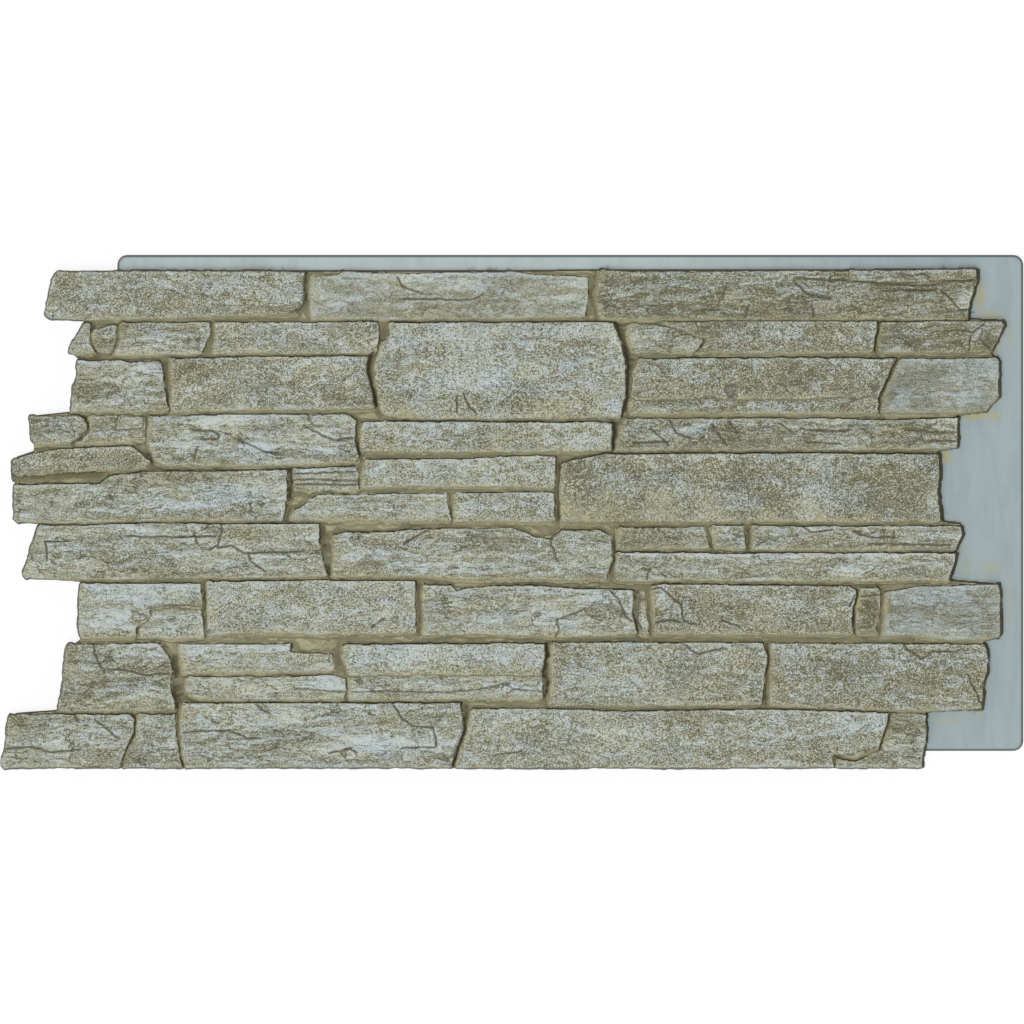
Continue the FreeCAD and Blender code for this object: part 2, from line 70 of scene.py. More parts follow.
# The stones: height of the face above the mortar, how it is split or pitted, how brown its wash is,
# and its outline.
stones = {
    "firstLongLeft": (7.6, "pitted", 0.3, [
        (72, 608), (243, 609), (372, 608), (371, 572), (361, 557), (182, 551), (64, 550), (58, 556),
        (64, 586)]),
    "firstSmooth": (4.4, "smooth", 0.1, [
        (380, 602), (409, 604), (416, 608), (493, 606), (623, 608), (639, 605), (715, 602), (717, 584),
        (712, 554), (548, 551), (381, 550), (378, 584)]),
    "firstLongRight": (6.0, "cleft", 0.6, [
        (733, 610), (779, 608), (1029, 609), (1189, 611), (1189, 596), (1176, 551), (732, 551),
        (726, 576)]),
    "firstLedge": (7.6, "cleft", 0.2, [
        (1034, 610), (1189, 611), (1187, 599), (1036, 597)]),
    "secondWedge": (4.4, "cleft", -0.7, [
        (105, 545), (110, 545), (110, 521), (115, 509), (84, 508), (91, 522), (101, 534)]),
    "secondSmallBlock": (3.0, "cleft", 0.0, [
        (115, 538), (136, 544), (144, 544), (139, 511), (118, 513), (114, 520)]),
    "secondLeftBlock": (6.0, "cleft", -0.1, [
        (149, 546), (256, 546), (256, 532), (246, 508), (141, 507), (148, 523)]),
    "secondLayered": (6.0, "pitted", 0.2, [
        (261, 546), (459, 547), (462, 538), (462, 523), (459, 510), (365, 509), (260, 508), (264, 526)]),
    "secondBig": (10.25, "pitted", -0.1, [
        (474, 546), (730, 547), (745, 546), (756, 521), (761, 487), (762, 456), (755, 431), (584, 430),
        (487, 431), (470, 434), (463, 444), (459, 475), (457, 489), (459, 499), (463, 509), (467, 523),
        (475, 531)]),
    "secondBrokenCorner": (3.0, "cleft", 0.0, [
        (764, 545), (797, 544), (828, 537), (855, 525), (849, 516), (838, 510), (774, 509), (767, 517)]),
    "secondMiddle": (6.0, "pitted", 0.9, [
        (804, 547), (901, 548), (1067, 548), (1063, 511), (962, 509), (848, 509), (862, 525), (840, 534)]),
    "secondRightEnd": (7.6, "cleft", 0.6, [
        (1072, 546), (1132, 548), (1218, 548), (1221, 542), (1218, 532), (1206, 511), (1072, 510),
        (1070, 523)]),
    "thirdLeftEnd": (6.0, "cleft", 0.3, [
        (95, 500), (148, 500), (159, 497), (194, 500), (199, 493), (200, 475), (205, 439), (89, 437),
        (91, 466), (97, 480)]),
    "thirdPitted": (7.6, "pitted", 0.3, [
        (209, 502), (261, 504), (450, 505), (447, 490), (456, 445), (451, 442), (209, 439), (210, 475)]),
    "thirdLedged": (6.0, "pitted", 0.7, [
        (779, 503), (945, 504), (1090, 503), (1069, 460), (1068, 436), (767, 436), (771, 487)]),
    "thirdLedgedUpper": (7.6, "pitted", 0.6, [
        (780, 502), (945, 503), (1088, 502), (1075, 471), (1068, 455), (769, 453), (772, 487)]),
    "thirdRightEnd": (6.0, "combed", 0.5, [
        (1096, 502), (1211, 503), (1215, 497), (1215, 455), (1206, 448), (1200, 438), (1074, 437),
        (1074, 453)]),
    "fourthLeftEnd": (4.4, "cleft", 1.2, [
        (42, 433), (97, 433), (103, 429), (107, 421), (104, 415), (87, 399), (43, 399), (39, 404),
        (39, 430)]),
    "fourthSunk": (3.0, "cleft", 0.1, [
        (112, 433), (178, 433), (178, 402), (96, 400), (110, 414)]),
    "fourthSunkUpper": (4.4, "cleft", -0.7, [
        (143, 432), (177, 432), (176, 419), (143, 417)]),
    "fourthCleft": (6.0, "cleft", -0.6, [
        (183, 432), (249, 434), (420, 435), (433, 428), (433, 402), (436, 383), (431, 376), (311, 373),
        (204, 372), (190, 378), (182, 404)]),
    "fourthSpeckled": (7.6, "pitted", -0.1, [
        (442, 425), (481, 426), (745, 425), (745, 391), (633, 390), (440, 390)]),
    "fourthRightEnd": (6.0, "cleft", 0.4, [
        (760, 429), (1023, 430), (1072, 427), (1165, 431), (1165, 394), (1011, 392), (750, 391),
        (754, 407)]),
    "fifthLeftEnd": (6.0, "pitted", 0.0, [
        (18, 380), (40, 387), (72, 392), (115, 395), (158, 396), (166, 393), (183, 377), (177, 370),
        (121, 367), (18, 361)]),
    "fifthLeftLedge": (3.0, "cleft", 2.3, [
        (18, 365), (125, 366), (133, 362), (120, 356), (60, 355), (18, 354)]),
    "fifthStrata": (3.0, "cleft", -0.6, [
        (358, 369), (433, 371), (437, 359), (437, 343), (360, 342), (357, 353)]),
    "fifthPitted": (6.0, "pitted", -0.3, [
        (445, 380), (572, 381), (615, 384), (676, 384), (677, 371), (675, 345), (584, 348), (442, 347)]),
    "fifthBig": (10.25, "pitted", 0.7, [
        (686, 375), (694, 380), (737, 386), (852, 387), (1035, 387), (1142, 386), (1143, 365), (1141, 341),
        (1144, 305), (684, 305), (682, 341)]),
    "sixthLeftEnd": (7.6, "cleft", -0.5, [
        (20, 349), (121, 351), (134, 360), (182, 365), (350, 367), (350, 328), (345, 306), (243, 306),
        (23, 303), (20, 307)]),
    "sixthShortLeft": (4.4, "cleft", -0.6, [
        (387, 337), (544, 338), (544, 325), (548, 314), (548, 306), (355, 306), (361, 319), (374, 328)]),
    "sixthShortRight": (6.0, "pitted", -0.2, [
        (554, 339), (675, 340), (675, 305), (553, 305)]),
    "seventhLeftEnd": (7.6, "cleft", -0.3, [
        (50, 300), (109, 300), (182, 302), (390, 301), (389, 280), (398, 238), (243, 236), (33, 235),
        (31, 241), (41, 273)]),
    "seventhCracked": (4.4, "cleft", 0.0, [
        (407, 288), (420, 292), (481, 292), (499, 295), (623, 297), (639, 292), (651, 285), (669, 283),
        (682, 294), (730, 294), (744, 286), (745, 255), (738, 233), (593, 235), (487, 239), (407, 239)]),
    "seventhThinLeft": (4.4, "cleft", 0.3, [
        (754, 297), (856, 298), (859, 289), (863, 272), (752, 271)]),
    "seventhThinMiddle": (4.4, "cleft", -0.1, [
        (866, 299), (905, 300), (908, 272), (871, 272)]),
    "seventhThinRight": (6.0, "cleft", 0.0, [
        (916, 299), (1169, 299), (1170, 288), (1162, 270), (918, 271)]),
    "seventhRightEnd": (7.6, "cleft", -0.3, [
        (751, 266), (1163, 266), (1161, 253), (1154, 233), (750, 233)]),
    "eighthLeftEnd": (6.0, "cleft", -0.5, [
        (100, 229), (244, 229), (247, 207), (246, 199), (209, 201), (182, 198), (182, 189), (167, 176),
        (166, 163), (100, 163), (97, 176)]),
    "eighthLeftChip": (4.4, "cleft", -0.7, [
        (166, 202), (246, 202), (249, 163), (160, 163)]),
    "eighthLong": (6.0, "pitted", -0.4, [
        (254, 231), (402, 233), (506, 232), (506, 207), (507, 170), (414, 168), (280, 170), (253, 165)]),
    "eighthNotched": (7.6, "cleft", -0.6, [
        (516, 227), (548, 227), (554, 221), (593, 226), (645, 227), (682, 224), (771, 220), (769, 192),
        (774, 168), (682, 164), (584, 168), (516, 168)]),
    "eighthSliver": (3.0, "cleft", -0.4, [
        (777, 219), (784, 219), (788, 180), (788, 166), (780, 166), (776, 182)]),
    "eighthPitted": (7.6, "pitted", 0.5, [
        (794, 226), (804, 228), (1033, 226), (1042, 221), (1036, 185), (1037, 168), (797, 168),
        (794, 207)]),
    "eighthUpright": (4.4, "cleft", 0.6, [
        (1047, 224), (1067, 225), (1071, 219), (1072, 200), (1065, 168), (1043, 168), (1042, 190)]),
    "eighthRightEnd": (6.0, "combed", 0.7, [
        (1079, 219), (1096, 221), (1114, 225), (1214, 228), (1217, 219), (1217, 166), (1214, 162),
        (1148, 162), (1102, 168), (1074, 166), (1077, 180)]),
    "ninthLeftEnd": (6.0, "cleft", -0.3, [
        (87, 155), (194, 156), (209, 132), (211, 121), (208, 114), (208, 99), (213, 85), (213, 75),
        (73, 75), (78, 103), (83, 148)]),
    "ninthThinUpper": (4.4, "cleft", -0.9, [
        (219, 155), (355, 156), (353, 146), (406, 143), (407, 124), (280, 121), (224, 120), (222, 139)]),
    "ninthThinLower": (3.0, "cleft", -0.6, [
        (231, 115), (352, 116), (407, 118), (422, 113), (422, 97), (419, 88), (243, 88), (228, 97)]),
    "ninthStepped": (4.4, "cleft", -0.7, [
        (421, 156), (663, 157), (665, 139), (660, 116), (661, 90), (427, 88), (427, 115), (417, 139)]),
    "ninthSteppedUpper": (7.6, "pitted", -0.4, [
        (422, 155), (662, 156), (664, 139), (661, 119), (426, 118), (418, 139)]),
    "ninthLong": (7.6, "pitted", 0.2, [
        (672, 157), (928, 157), (933, 139), (927, 82), (671, 81)]),
    "ninthRightEnd": (6.0, "pitted", 0.6, [
        (939, 157), (1197, 155), (1201, 139), (1201, 121), (1196, 107), (1195, 75), (1084, 76), (938, 80)]),
    "tenthLeftEnd": (6.0, "cleft", -0.1, [
        (20, 70), (158, 70), (165, 63), (165, 53), (144, 4), (7, 4), (4, 10), (11, 38), (10, 56),
        (14, 67)]),
    "tenthUpright": (4.4, "cleft", -0.3, [
        (171, 70), (214, 70), (215, 42), (222, 4), (150, 4), (152, 14), (168, 48)]),
    "tenthLong": (7.6, "cleft", -0.5, [
        (223, 83), (560, 84), (565, 54), (560, 36), (549, 4), (227, 4), (221, 48)]),
    "tenthChipped": (7.6, "pitted", -0.1, [
        (576, 77), (667, 77), (755, 74), (945, 76), (1082, 72), (1079, 58), (1069, 31), (1039, 18),
        (1014, 21), (1014, 4), (555, 4), (570, 48)]),
    "tenthRightEnd": (3.0, "cleft", 0.5, [
        (1087, 71), (1127, 70), (1126, 36), (1121, 4), (1018, 4), (1018, 15), (1040, 13), (1073, 27),
        (1083, 54)]),
}

# How each kind of face is carved, in millimetres, and how strong its speckle is.
skins = {
    "pitted": {"steps": 0.25, "flakes": 0.4, "stepHeight": 0.8, "speckle": 1.1, "plates": 0.35},
    "cleft": {"steps": 0.95, "flakes": 0.4, "stepHeight": 1.1, "speckle": 0.9, "plates": 1.0},
    "smooth": {"steps": 0.5, "flakes": 0.15, "stepHeight": 0.6, "speckle": 0.55, "plates": 0.6},
    "combed": {"steps": 0.2, "flakes": 0.1, "stepHeight": 0.5, "speckle": 0.6, "plates": 0.0},
}

# Cracks and split lines in the faces, as depth and paths.
cracks = {
    "firstSmooth": (1.0, [
        [(487, 574), (535, 573), (572, 572), (582, 576), (588, 580)], [(484, 600), (488, 590), (514, 580)]]),
    "firstLongRight": (1.4, [
        [(967, 599), (1034, 595), (1120, 590), (1156, 594), (1190, 596)], [(1071, 584), (1138, 585)],
        [(911, 566), (905, 552)], [(987, 568), (989, 552)],
        [(1144, 584), (1156, 574), (1166, 560), (1178, 560)], [(965, 596), (980, 580), (1010, 574)]]),
    "secondBig": (1.8, [
        [(556, 456), (556, 436)], [(563, 459), (572, 441), (577, 437)]]),
    "secondRightEnd": (1.2, [
        [(1150, 535), (1174, 535), (1183, 532), (1195, 542)], [(1180, 529), (1177, 511)],
        [(1190, 526), (1205, 511)]]),
    "fourthCleft": (1.3, [
        [(234, 414), (258, 414), (266, 408), (264, 403), (243, 404)], [(241, 394), (235, 377)],
        [(290, 402), (321, 388), (337, 385)], [(369, 420), (389, 409), (405, 402), (432, 405)]]),
    "fourthRightEnd": (1.2, [
        [(812, 430), (821, 411), (840, 404)], [(791, 416), (807, 402), (813, 395)],
        [(770, 399), (812, 400)], [(864, 422), (875, 408), (883, 395)], [(885, 426), (897, 411)],
        [(947, 423), (961, 413)], [(973, 416), (1010, 413), (1034, 415)], [(1101, 414), (1165, 411)],
        [(1132, 402), (1165, 400)], [(980, 399), (1022, 399)]]),
    "fifthStrata": (1.0, [
        [(358, 361), (436, 363)], [(358, 354), (438, 353)], [(360, 348), (438, 348)]]),
    "seventhLeftEnd": (1.5, [
        [(270, 302), (269, 290), (264, 274), (253, 269)],
        [(264, 271), (282, 274), (298, 265), (321, 265), (353, 266), (371, 268)],
        [(152, 286), (183, 284), (262, 284)], [(236, 290), (239, 276)],
        [(302, 264), (304, 256), (321, 243)], [(58, 256), (55, 279), (85, 279)]]),
    "seventhCracked": (1.1, [
        [(490, 276), (501, 282), (517, 292)], [(681, 294), (669, 279), (677, 256)]]),
    "seventhThinRight": (1.3, [
        [(975, 298), (988, 290), (1012, 293)], [(1038, 292), (1059, 284), (1087, 284), (1087, 292)],
        [(1056, 276), (1156, 275)]]),
    "seventhRightEnd": (1.2, [
        [(791, 246), (786, 234)], [(803, 240), (809, 235)]]),
    "eighthLeftEnd": (0.8, [
        [(183, 190), (183, 198), (209, 202), (247, 200)], [(168, 176), (167, 163)]]),
    "eighthLong": (1.0, [
        [(450, 175), (468, 186)]]),
    "eighthNotched": (1.3, [
        [(739, 220), (752, 209), (759, 189), (767, 183)], [(677, 185), (679, 170), (675, 164)],
        [(681, 185), (712, 198)], [(554, 228), (593, 226)]]),
    "eighthPitted": (1.5, [
        [(791, 221), (803, 223), (821, 207), (829, 201), (830, 183), (846, 178)],
        [(797, 180), (813, 183), (827, 181)], [(876, 183), (900, 176)], [(1038, 214), (1032, 200)]]),
    "eighthUpright": (1.0, [
        [(1046, 213), (1071, 214)]]),
    "ninthLeftEnd": (1.3, [
        [(114, 155), (114, 144), (119, 131), (127, 119)], [(127, 122), (152, 123), (176, 117), (207, 118)]]),
    "ninthThin": (0.8, [
        [(359, 100), (420, 97)]]),
    "ninthStepped": (0.9, [
        [(427, 96), (548, 96), (596, 101), (615, 107), (624, 100), (663, 97)]]),
    "ninthLong": (1.4, [
        [(827, 158), (840, 147), (849, 142), (870, 146), (882, 148)]]),
    "ninthRightEnd": (1.4, [
        [(1099, 152), (1115, 139), (1120, 136), (1132, 144), (1162, 145)],
        [(1175, 119), (1186, 97), (1195, 80)]]),
    "tenthLeftEnd": (1.2, [
        [(6, 27), (37, 29), (61, 23), (97, 26)], [(85, 75), (95, 61)], [(116, 63), (144, 39)]]),
    "tenthLong": (1.3, [
        [(223, 47), (280, 49), (301, 39), (319, 38)],
        [(477, 83), (487, 66), (501, 54), (526, 52), (531, 29), (487, 28)], [(312, 80), (329, 69)],
        [(402, 22), (426, 27), (434, 23)]]),
    "tenthChipped": (0.9, [
        [(602, 19), (633, 24)]]),
}

# Where the paint is browner (above 0) or paler (below 0) than the rest of its stone: middle, half
# length, half height and strength.
stains = [
    # Bare flange.
    (292, 611, 70, 3, 0.3), (1196, 432, 28, 5, 1.3), (1155, 382, 9, 7, 1.1), (1192, 247, 25, 12, 0.5),
    (1156, 60, 20, 4, 0.8), (1205, 553, 14, 5, 1.0), (1193, 575, 6, 20, 0.9), (1230, 522, 4, 20, 0.5),
    (1228, 205, 4, 30, 0.5),
    # First course.
    (80, 584, 15, 17, 0.6), (122, 584, 27, 12, -0.2), (213, 566, 37, 7, 0.6), (286, 587, 12, 15, -0.6),
    (347, 582, 15, 17, -0.8), (657, 584, 30, 9, 0.5), (572, 590, 37, 10, -0.2), (791, 578, 55, 15, -0.3),
    (931, 582, 32, 10, 0.3), (1049, 604, 17, 5, -0.7), (1113, 588, 51, 6, 1.3), (1154, 572, 15, 10, 1.0),
    (1171, 577, 6, 12, -0.6), (1026, 601, 7, 6, 1.2), (1083, 569, 49, 10, 0.5),
    # Second course.
    (186, 527, 17, 11, -0.6), (246, 517, 10, 7, -0.6), (155, 534, 11, 10, 0.7), (280, 523, 17, 9, 0.6),
    (344, 535, 17, 7, -0.3), (426, 532, 27, 9, 0.2), (560, 521, 34, 12, -0.3), (572, 475, 41, 15, -0.6),
    (489, 526, 15, 11, -0.3), (596, 540, 17, 6, 0.5), (567, 448, 16, 12, 1.0), (681, 517, 41, 19, 0.1),
    (718, 456, 27, 15, 0.4), (633, 444, 32, 9, 0.5), (799, 532, 11, 7, -1.3), (840, 531, 32, 10, 0.7),
    (852, 516, 12, 7, 0.9), (947, 534, 24, 11, -1.5), (888, 523, 17, 9, -0.5), (1000, 538, 12, 10, 1.1),
    (1040, 529, 19, 11, -0.3), (1120, 529, 24, 11, -0.5), (1162, 532, 15, 15, 0.8),
    (1205, 518, 12, 12, 1.5),
    # Third course.
    (164, 465, 34, 16, -0.3), (237, 489, 19, 10, 0.9), (260, 450, 24, 9, 0.8), (353, 493, 11, 7, -0.6),
    (423, 499, 10, 5, -0.7), (371, 479, 12, 12, 0.7), (304, 468, 37, 15, 0.2), (420, 456, 27, 10, 0.3),
    (785, 484, 12, 10, -0.3), (830, 487, 11, 9, -0.6), (809, 465, 27, 10, 0.5), (900, 475, 32, 11, 0.4),
    (973, 484, 29, 10, 0.6), (1034, 468, 22, 10, 0.6), (1076, 453, 11, 7, 1.1), (925, 444, 73, 5, -0.3),
    (1126, 484, 32, 15, 0.35), (1093, 448, 12, 9, -0.6), (1174, 456, 32, 11, -0.3),
    # Fourth course.
    (69, 416, 29, 15, -0.5), (124, 425, 15, 7, 1.1), (161, 426, 17, 7, 0.5), (134, 408, 29, 5, -0.2),
    (286, 427, 46, 6, -1.0), (221, 394, 39, 11, -0.9), (304, 387, 24, 9, -0.8), (389, 423, 27, 11, 0.5),
    (404, 387, 32, 7, -0.6), (329, 408, 41, 9, 0.1), (494, 408, 10, 9, -0.9), (528, 414, 7, 7, -0.8),
    (577, 414, 9, 6, 0.9), (633, 411, 37, 11, 0.1), (706, 402, 24, 9, -0.2), (848, 414, 12, 7, -0.8),
    (883, 410, 15, 13, 1.0), (953, 414, 10, 7, 1.0), (803, 406, 24, 9, -0.2), (992, 406, 22, 7, 0.3),
    (1105, 417, 15, 6, 1.1), (1071, 402, 54, 6, -0.2),
    # Fifth course.
    (75, 361, 60, 6, 1.5), (91, 381, 73, 10, 0.7), (158, 377, 19, 11, 0.5), (459, 365, 11, 7, -0.7),
    (499, 359, 15, 7, 0.5), (572, 367, 37, 10, -0.2), (389, 355, 27, 10, 0.2), (700, 365, 19, 13, 1.1),
    (757, 371, 32, 11, 0.9), (803, 344, 11, 6, 0.8), (894, 367, 34, 12, 1.0), (864, 338, 17, 10, -0.6),
    (1004, 341, 32, 12, -0.4), (1101, 343, 37, 32, 0.5), (949, 329, 32, 15, 0.3), (730, 329, 34, 15, 0.2),
    (779, 319, 37, 9, -0.2),
    # Sixth course.
    (67, 331, 44, 17, 0.5), (292, 338, 54, 12, -1.0), (183, 322, 61, 11, -0.8), (245, 359, 60, 8, 1.3),
    (150, 352, 30, 8, 0.6), (414, 319, 19, 9, -0.6), (487, 326, 37, 9, 0.1), (568, 320, 12, 10, -0.8),
    (621, 329, 32, 11, 0.2),
    # Seventh course.
    (155, 271, 11, 10, -0.7), (192, 268, 11, 7, -0.6), (231, 276, 11, 10, -0.8), (75, 274, 24, 11, -0.7),
    (130, 259, 11, 11, 1.0), (314, 288, 41, 10, 0.9), (322, 248, 34, 10, -0.6), (97, 294, 49, 6, 0.5),
    (183, 246, 49, 9, 0.2), (448, 297, 37, 5, 1.0), (523, 294, 15, 7, 0.9), (445, 262, 39, 7, -0.3),
    (548, 246, 66, 7, -0.6), (608, 280, 32, 11, 0.4), (706, 265, 32, 15, 0.2), (797, 286, 41, 11, 0.7),
    (882, 287, 12, 7, -0.6), (949, 286, 27, 6, -0.5), (1129, 287, 32, 6, -0.4), (1077, 279, 19, 6, 1.1),
    (955, 264, 195, 4, -0.7), (913, 246, 54, 7, 0.5), (827, 246, 32, 9, 0.1), (1071, 243, 49, 6, 0.1),
    # Eighth course.
    (183, 217, 66, 12, -1.4), (144, 183, 24, 18, -0.8), (105, 195, 7, 24, 0.5), (217, 196, 32, 5, 0.7),
    (219, 176, 24, 9, -0.2), (329, 195, 24, 7, -0.3), (475, 174, 15, 10, 0.6), (365, 212, 41, 10, 0.3),
    (292, 183, 32, 10, 0.3), (532, 213, 11, 9, -0.5), (560, 211, 9, 11, -0.6), (574, 229, 19, 5, 1.4),
    (633, 201, 41, 12, 0.3), (669, 191, 7, 6, -0.6), (730, 212, 24, 9, -0.6), (730, 180, 32, 11, 0.5),
    (782, 207, 5, 17, 0.9), (803, 212, 7, 10, -2.0), (820, 212, 9, 9, 1.3), (876, 204, 41, 12, 0.3),
    (1031, 213, 11, 10, -0.9), (998, 174, 39, 9, 1.2), (1057, 192, 12, 27, 1.2), (931, 192, 32, 10, 0.3),
    (1132, 213, 54, 9, -0.6), (1156, 195, 61, 6, 0.35), (1120, 176, 44, 7, -0.5),
    # Ninth course.
    (90, 140, 9, 15, 0.9), (116, 144, 6, 12, 0.9), (164, 129, 39, 7, 0.8), (183, 146, 24, 6, -0.7),
    (158, 102, 39, 11, -0.7), (97, 97, 19, 12, 0.3), (262, 146, 41, 12, -0.7), (389, 138, 24, 11, 0.6),
    (394, 106, 29, 9, -1.3), (292, 105, 46, 10, 0.1), (542, 140, 117, 11, -0.6), (444, 140, 9, 9, -0.6),
    (554, 114, 105, 6, 0.6), (645, 100, 24, 6, -0.5), (706, 116, 27, 7, -0.5), (730, 140, 41, 11, 0.3),
    (840, 110, 49, 15, 0.2), (900, 140, 27, 12, 0.4), (959, 140, 19, 12, -0.6), (1115, 144, 17, 9, 0.9),
    (1189, 105, 10, 19, 1.0), (1034, 116, 49, 17, 0.2), (1132, 110, 37, 15, 0.4), (1168, 151, 17, 7, 0.4),
    # Tenth course.
    (43, 55, 22, 13, 0.6), (85, 67, 16, 6, 0.7), (110, 43, 41, 11, -0.3), (34, 19, 17, 9, 0.8),
    (195, 71, 16, 6, 1.1), (243, 73, 15, 11, -0.5), (353, 55, 17, 12, -0.4), (468, 34, 71, 12, -1.3),
    (462, 64, 17, 10, 0.9), (234, 52, 11, 9, 0.6), (280, 22, 44, 11, -0.2), (389, 78, 49, 6, 0.2),
    (724, 12, 9, 6, -0.7), (681, 43, 73, 17, 0.2), (840, 67, 41, 6, 0.5), (925, 30, 73, 15, 0.1),
    (1046, 61, 37, 11, -0.4), (1071, 15, 37, 7, 0.4), (1104, 55, 15, 15, 0.5),
]

# Painted shade beside stone ends, as half width, strength and path.
paintedShades = [
    # First and second course.
    (2.0, 0.8, [(371, 606), (370, 584), (369, 568), (364, 561), (355, 557)]),
    (2.2, 1.0, [(747, 545), (752, 533), (758, 517), (762, 499), (763, 475), (762, 450), (758, 437)]),
    (2.4, 1.0, [(453, 509), (449, 499), (447, 489), (450, 475), (454, 460), (456, 445)]),
    (0.9, 0.7, [(1067, 546), (1066, 529), (1063, 511)]),
    # Third to sixth course.
    (1.0, 0.5, [(1082, 484), (1074, 465), (1070, 444)]),
    (2.4, 1.0, [(746, 426), (747, 411), (745, 392)]),
    (1.0, 0.9, [(97, 432), (105, 427), (108, 420), (105, 413), (96, 405), (88, 398)]),
    (1.3, 0.7, [(164, 399), (176, 391), (184, 382), (186, 375)]),
    (1.6, 0.8, [(434, 402), (437, 383)]),
    (2.0, 0.9, [(354, 367), (355, 353), (352, 332)]),
    (1.2, 0.7, [(678, 382), (681, 370), (679, 348), (679, 307)]),
    # Seventh and eighth course.
    (1.6, 0.6, [(393, 299), (393, 274), (398, 256), (400, 237)]),
    (1.4, 0.7, [(746, 286), (746, 256), (742, 240)]),
    (1.0, 0.8, [(248, 228), (249, 207), (252, 165)]),
    (1.0, 0.7, [(507, 230), (509, 207), (510, 170)]),
    (1.4, 0.8, [(775, 219), (776, 201), (775, 183), (780, 168)]),
    (1.2, 0.7, [(1043, 219), (1038, 195), (1038, 170)]),
    # Ninth and tenth course.
    (2.2, 0.8, [(202, 153), (209, 140), (214, 122), (211, 100), (215, 78)]),
    (2.0, 1.0, [(664, 156), (666, 140), (661, 119), (666, 107), (663, 92)]),
    (1.0, 0.6, [(933, 156), (933, 134), (930, 97), (927, 82)]),
    (1.2, 0.6, [(159, 71), (167, 58), (162, 39), (153, 24), (148, 4)]),
    (1.8, 0.8, [(565, 83), (567, 67), (562, 43), (554, 22), (550, 4)]),
    (1.0, 0.7, [(1083, 71), (1079, 56), (1070, 32), (1049, 22), (1017, 18), (1015, 4)]),
]

columns = int((panel["length"] + 2 * panel["margin"]) / panel["pitch"]) + 1
rows = int((panel["width"] + 2 * panel["margin"]) / panel["pitch"]) + 1
gridX, gridY = np.meshgrid(
    np.arange(columns) * panel["pitch"] - panel["margin"],
    np.arange(rows) * panel["pitch"] - panel["margin"])
waveX = np.fft.rfftfreq(columns, panel["pitch"])[None, :]
waveY = np.fft.fftfreq(rows, panel["pitch"])[:, None]


def blur(field, sizeX, sizeY=None):
    # Gaussian blur with the given spread in millimetres.
    sizeY = sizeX if sizeY is None else sizeY
    keep = np.exp(-2 * math.pi ** 2 * ((waveX * sizeX) ** 2 + (waveY * sizeY) ** 2))
    return np.fft.irfft2(np.fft.rfft2(field) * keep, s=field.shape)


def roughness(seed, sizeX, sizeY):
    # Smooth random field with lumps of this size, mean 0 and spread 1.
    field = blur(np.random.default_rng(seed).standard_normal(gridX.shape), sizeX, sizeY)
    return (field - field.mean()) / field.std()


def smoothStep(low, high, value):
    part = np.clip((value - low) / (high - low), 0, 1)
    return part * part * (3 - 2 * part)


def terraces(field, step):
    # Turns a slope into flat cleft layers with short risers.
    level = field / step
    whole = np.floor(level)
    return (whole + smoothStep(0.36, 0.64, level - whole)) * step


def outlineDistance(x, y, outline):
    # Distance inside the outline, negative outside, and the outward direction of the nearest side.
    best = np.full(x.shape, 1e9)
    outX = np.zeros(x.shape)
    outY = np.zeros(x.shape)
    inside = np.zeros(x.shape, dtype=bool)
    sides = list(zip(outline, outline[1:] + outline[:1]))
    turn = sum(a[0] * b[1] - b[0] * a[1] for a, b in sides)
    side = -1.0 if turn > 0 else 1.0
    for (ax, ay), (bx, by) in sides:
        edgeX = bx - ax
        edgeY = by - ay
        length = math.hypot(edgeX, edgeY)
        along = np.clip(((x - ax) * edgeX + (y - ay) * edgeY) / length ** 2, 0, 1)
        gap = np.hypot(x - ax - along * edgeX, y - ay - along * edgeY)
        nearer = gap < best
        best[nearer] = gap[nearer]
        outX[nearer] = -edgeY / length * side
        outY[nearer] = edgeX / length * side
        if ay != by:
            inside ^= ((ay > y) != (by > y)) & (x < ax + (y - ay) * edgeX / edgeY)
    return np.where(inside, best, -best), outX, outY


def rectangle(left, low, right, high):
    return [(left, low), (right, low), (right, high), (left, high)]


print("carving the stones")
carving = {
    "lowest": 3.0,        # where the walls outside the panel are cut off
    "below": -5.0,        # underside of the block before it is cut out
    "bevel": 0.7,         # width of the rounding on a stone's upper and right edges
    "lowerBevel": 1.0,    # added on edges that face down or left
    "rounding": 0.45,     # drop of a rounded edge for each millimetre of its width
    "jointRun": 2.8,      # mortar rises to a stone's lower edge over this width
    "lowerReach": 2.3,    # a lower or left edge stands this far outside the outline
    "inset": 1.3,         # a steep edge stands this far inside the outline
    "topSlope": 12.0,     # upper edges, nearly upright
    "endSlope": 2.8,      # right ends, less steep than the upper edges
    "flangeSlope": 4.0,   # right ends where they stand on the flange
    "rimSlope": 8.0,      # left and lower sides of the whole panel
    "rimOut": 3.0,        # the left ones stand this far outside the outline
    "crack": 1.3,         # half width of a crack
    "crackDark": 1.0,     # half width of the dark line painted in it
    "swell": 0.5,         # gentle rise and fall of every face
    "tiltX": 0.004,       # greatest slope of a face along and across the course
    "tiltY": 0.015,
    "clearance": 0.3,     # faces stay this far under the panel's depth
}

# Wavy outlines, then the swell, the cleft layers and the flakes of the faces.
wobbleX = 0.35 * roughness(11, 9, 7) + 0.35 * roughness(12, 2.0, 1.8)
wobbleY = 0.30 * roughness(13, 14, 6) + 0.30 * roughness(14, 2.4, 1.6)
swell = roughness(15, 30, 12)
cleave = roughness(16, 15, 4.2) + 0.45 * roughness(17, 6, 2.0)
flakes = roughness(18, 5.5, 3.4) + 0.4 * roughness(19, 2.2, 1.7)
bevelNoise = np.exp(0.4 * roughness(20, 8, 5))

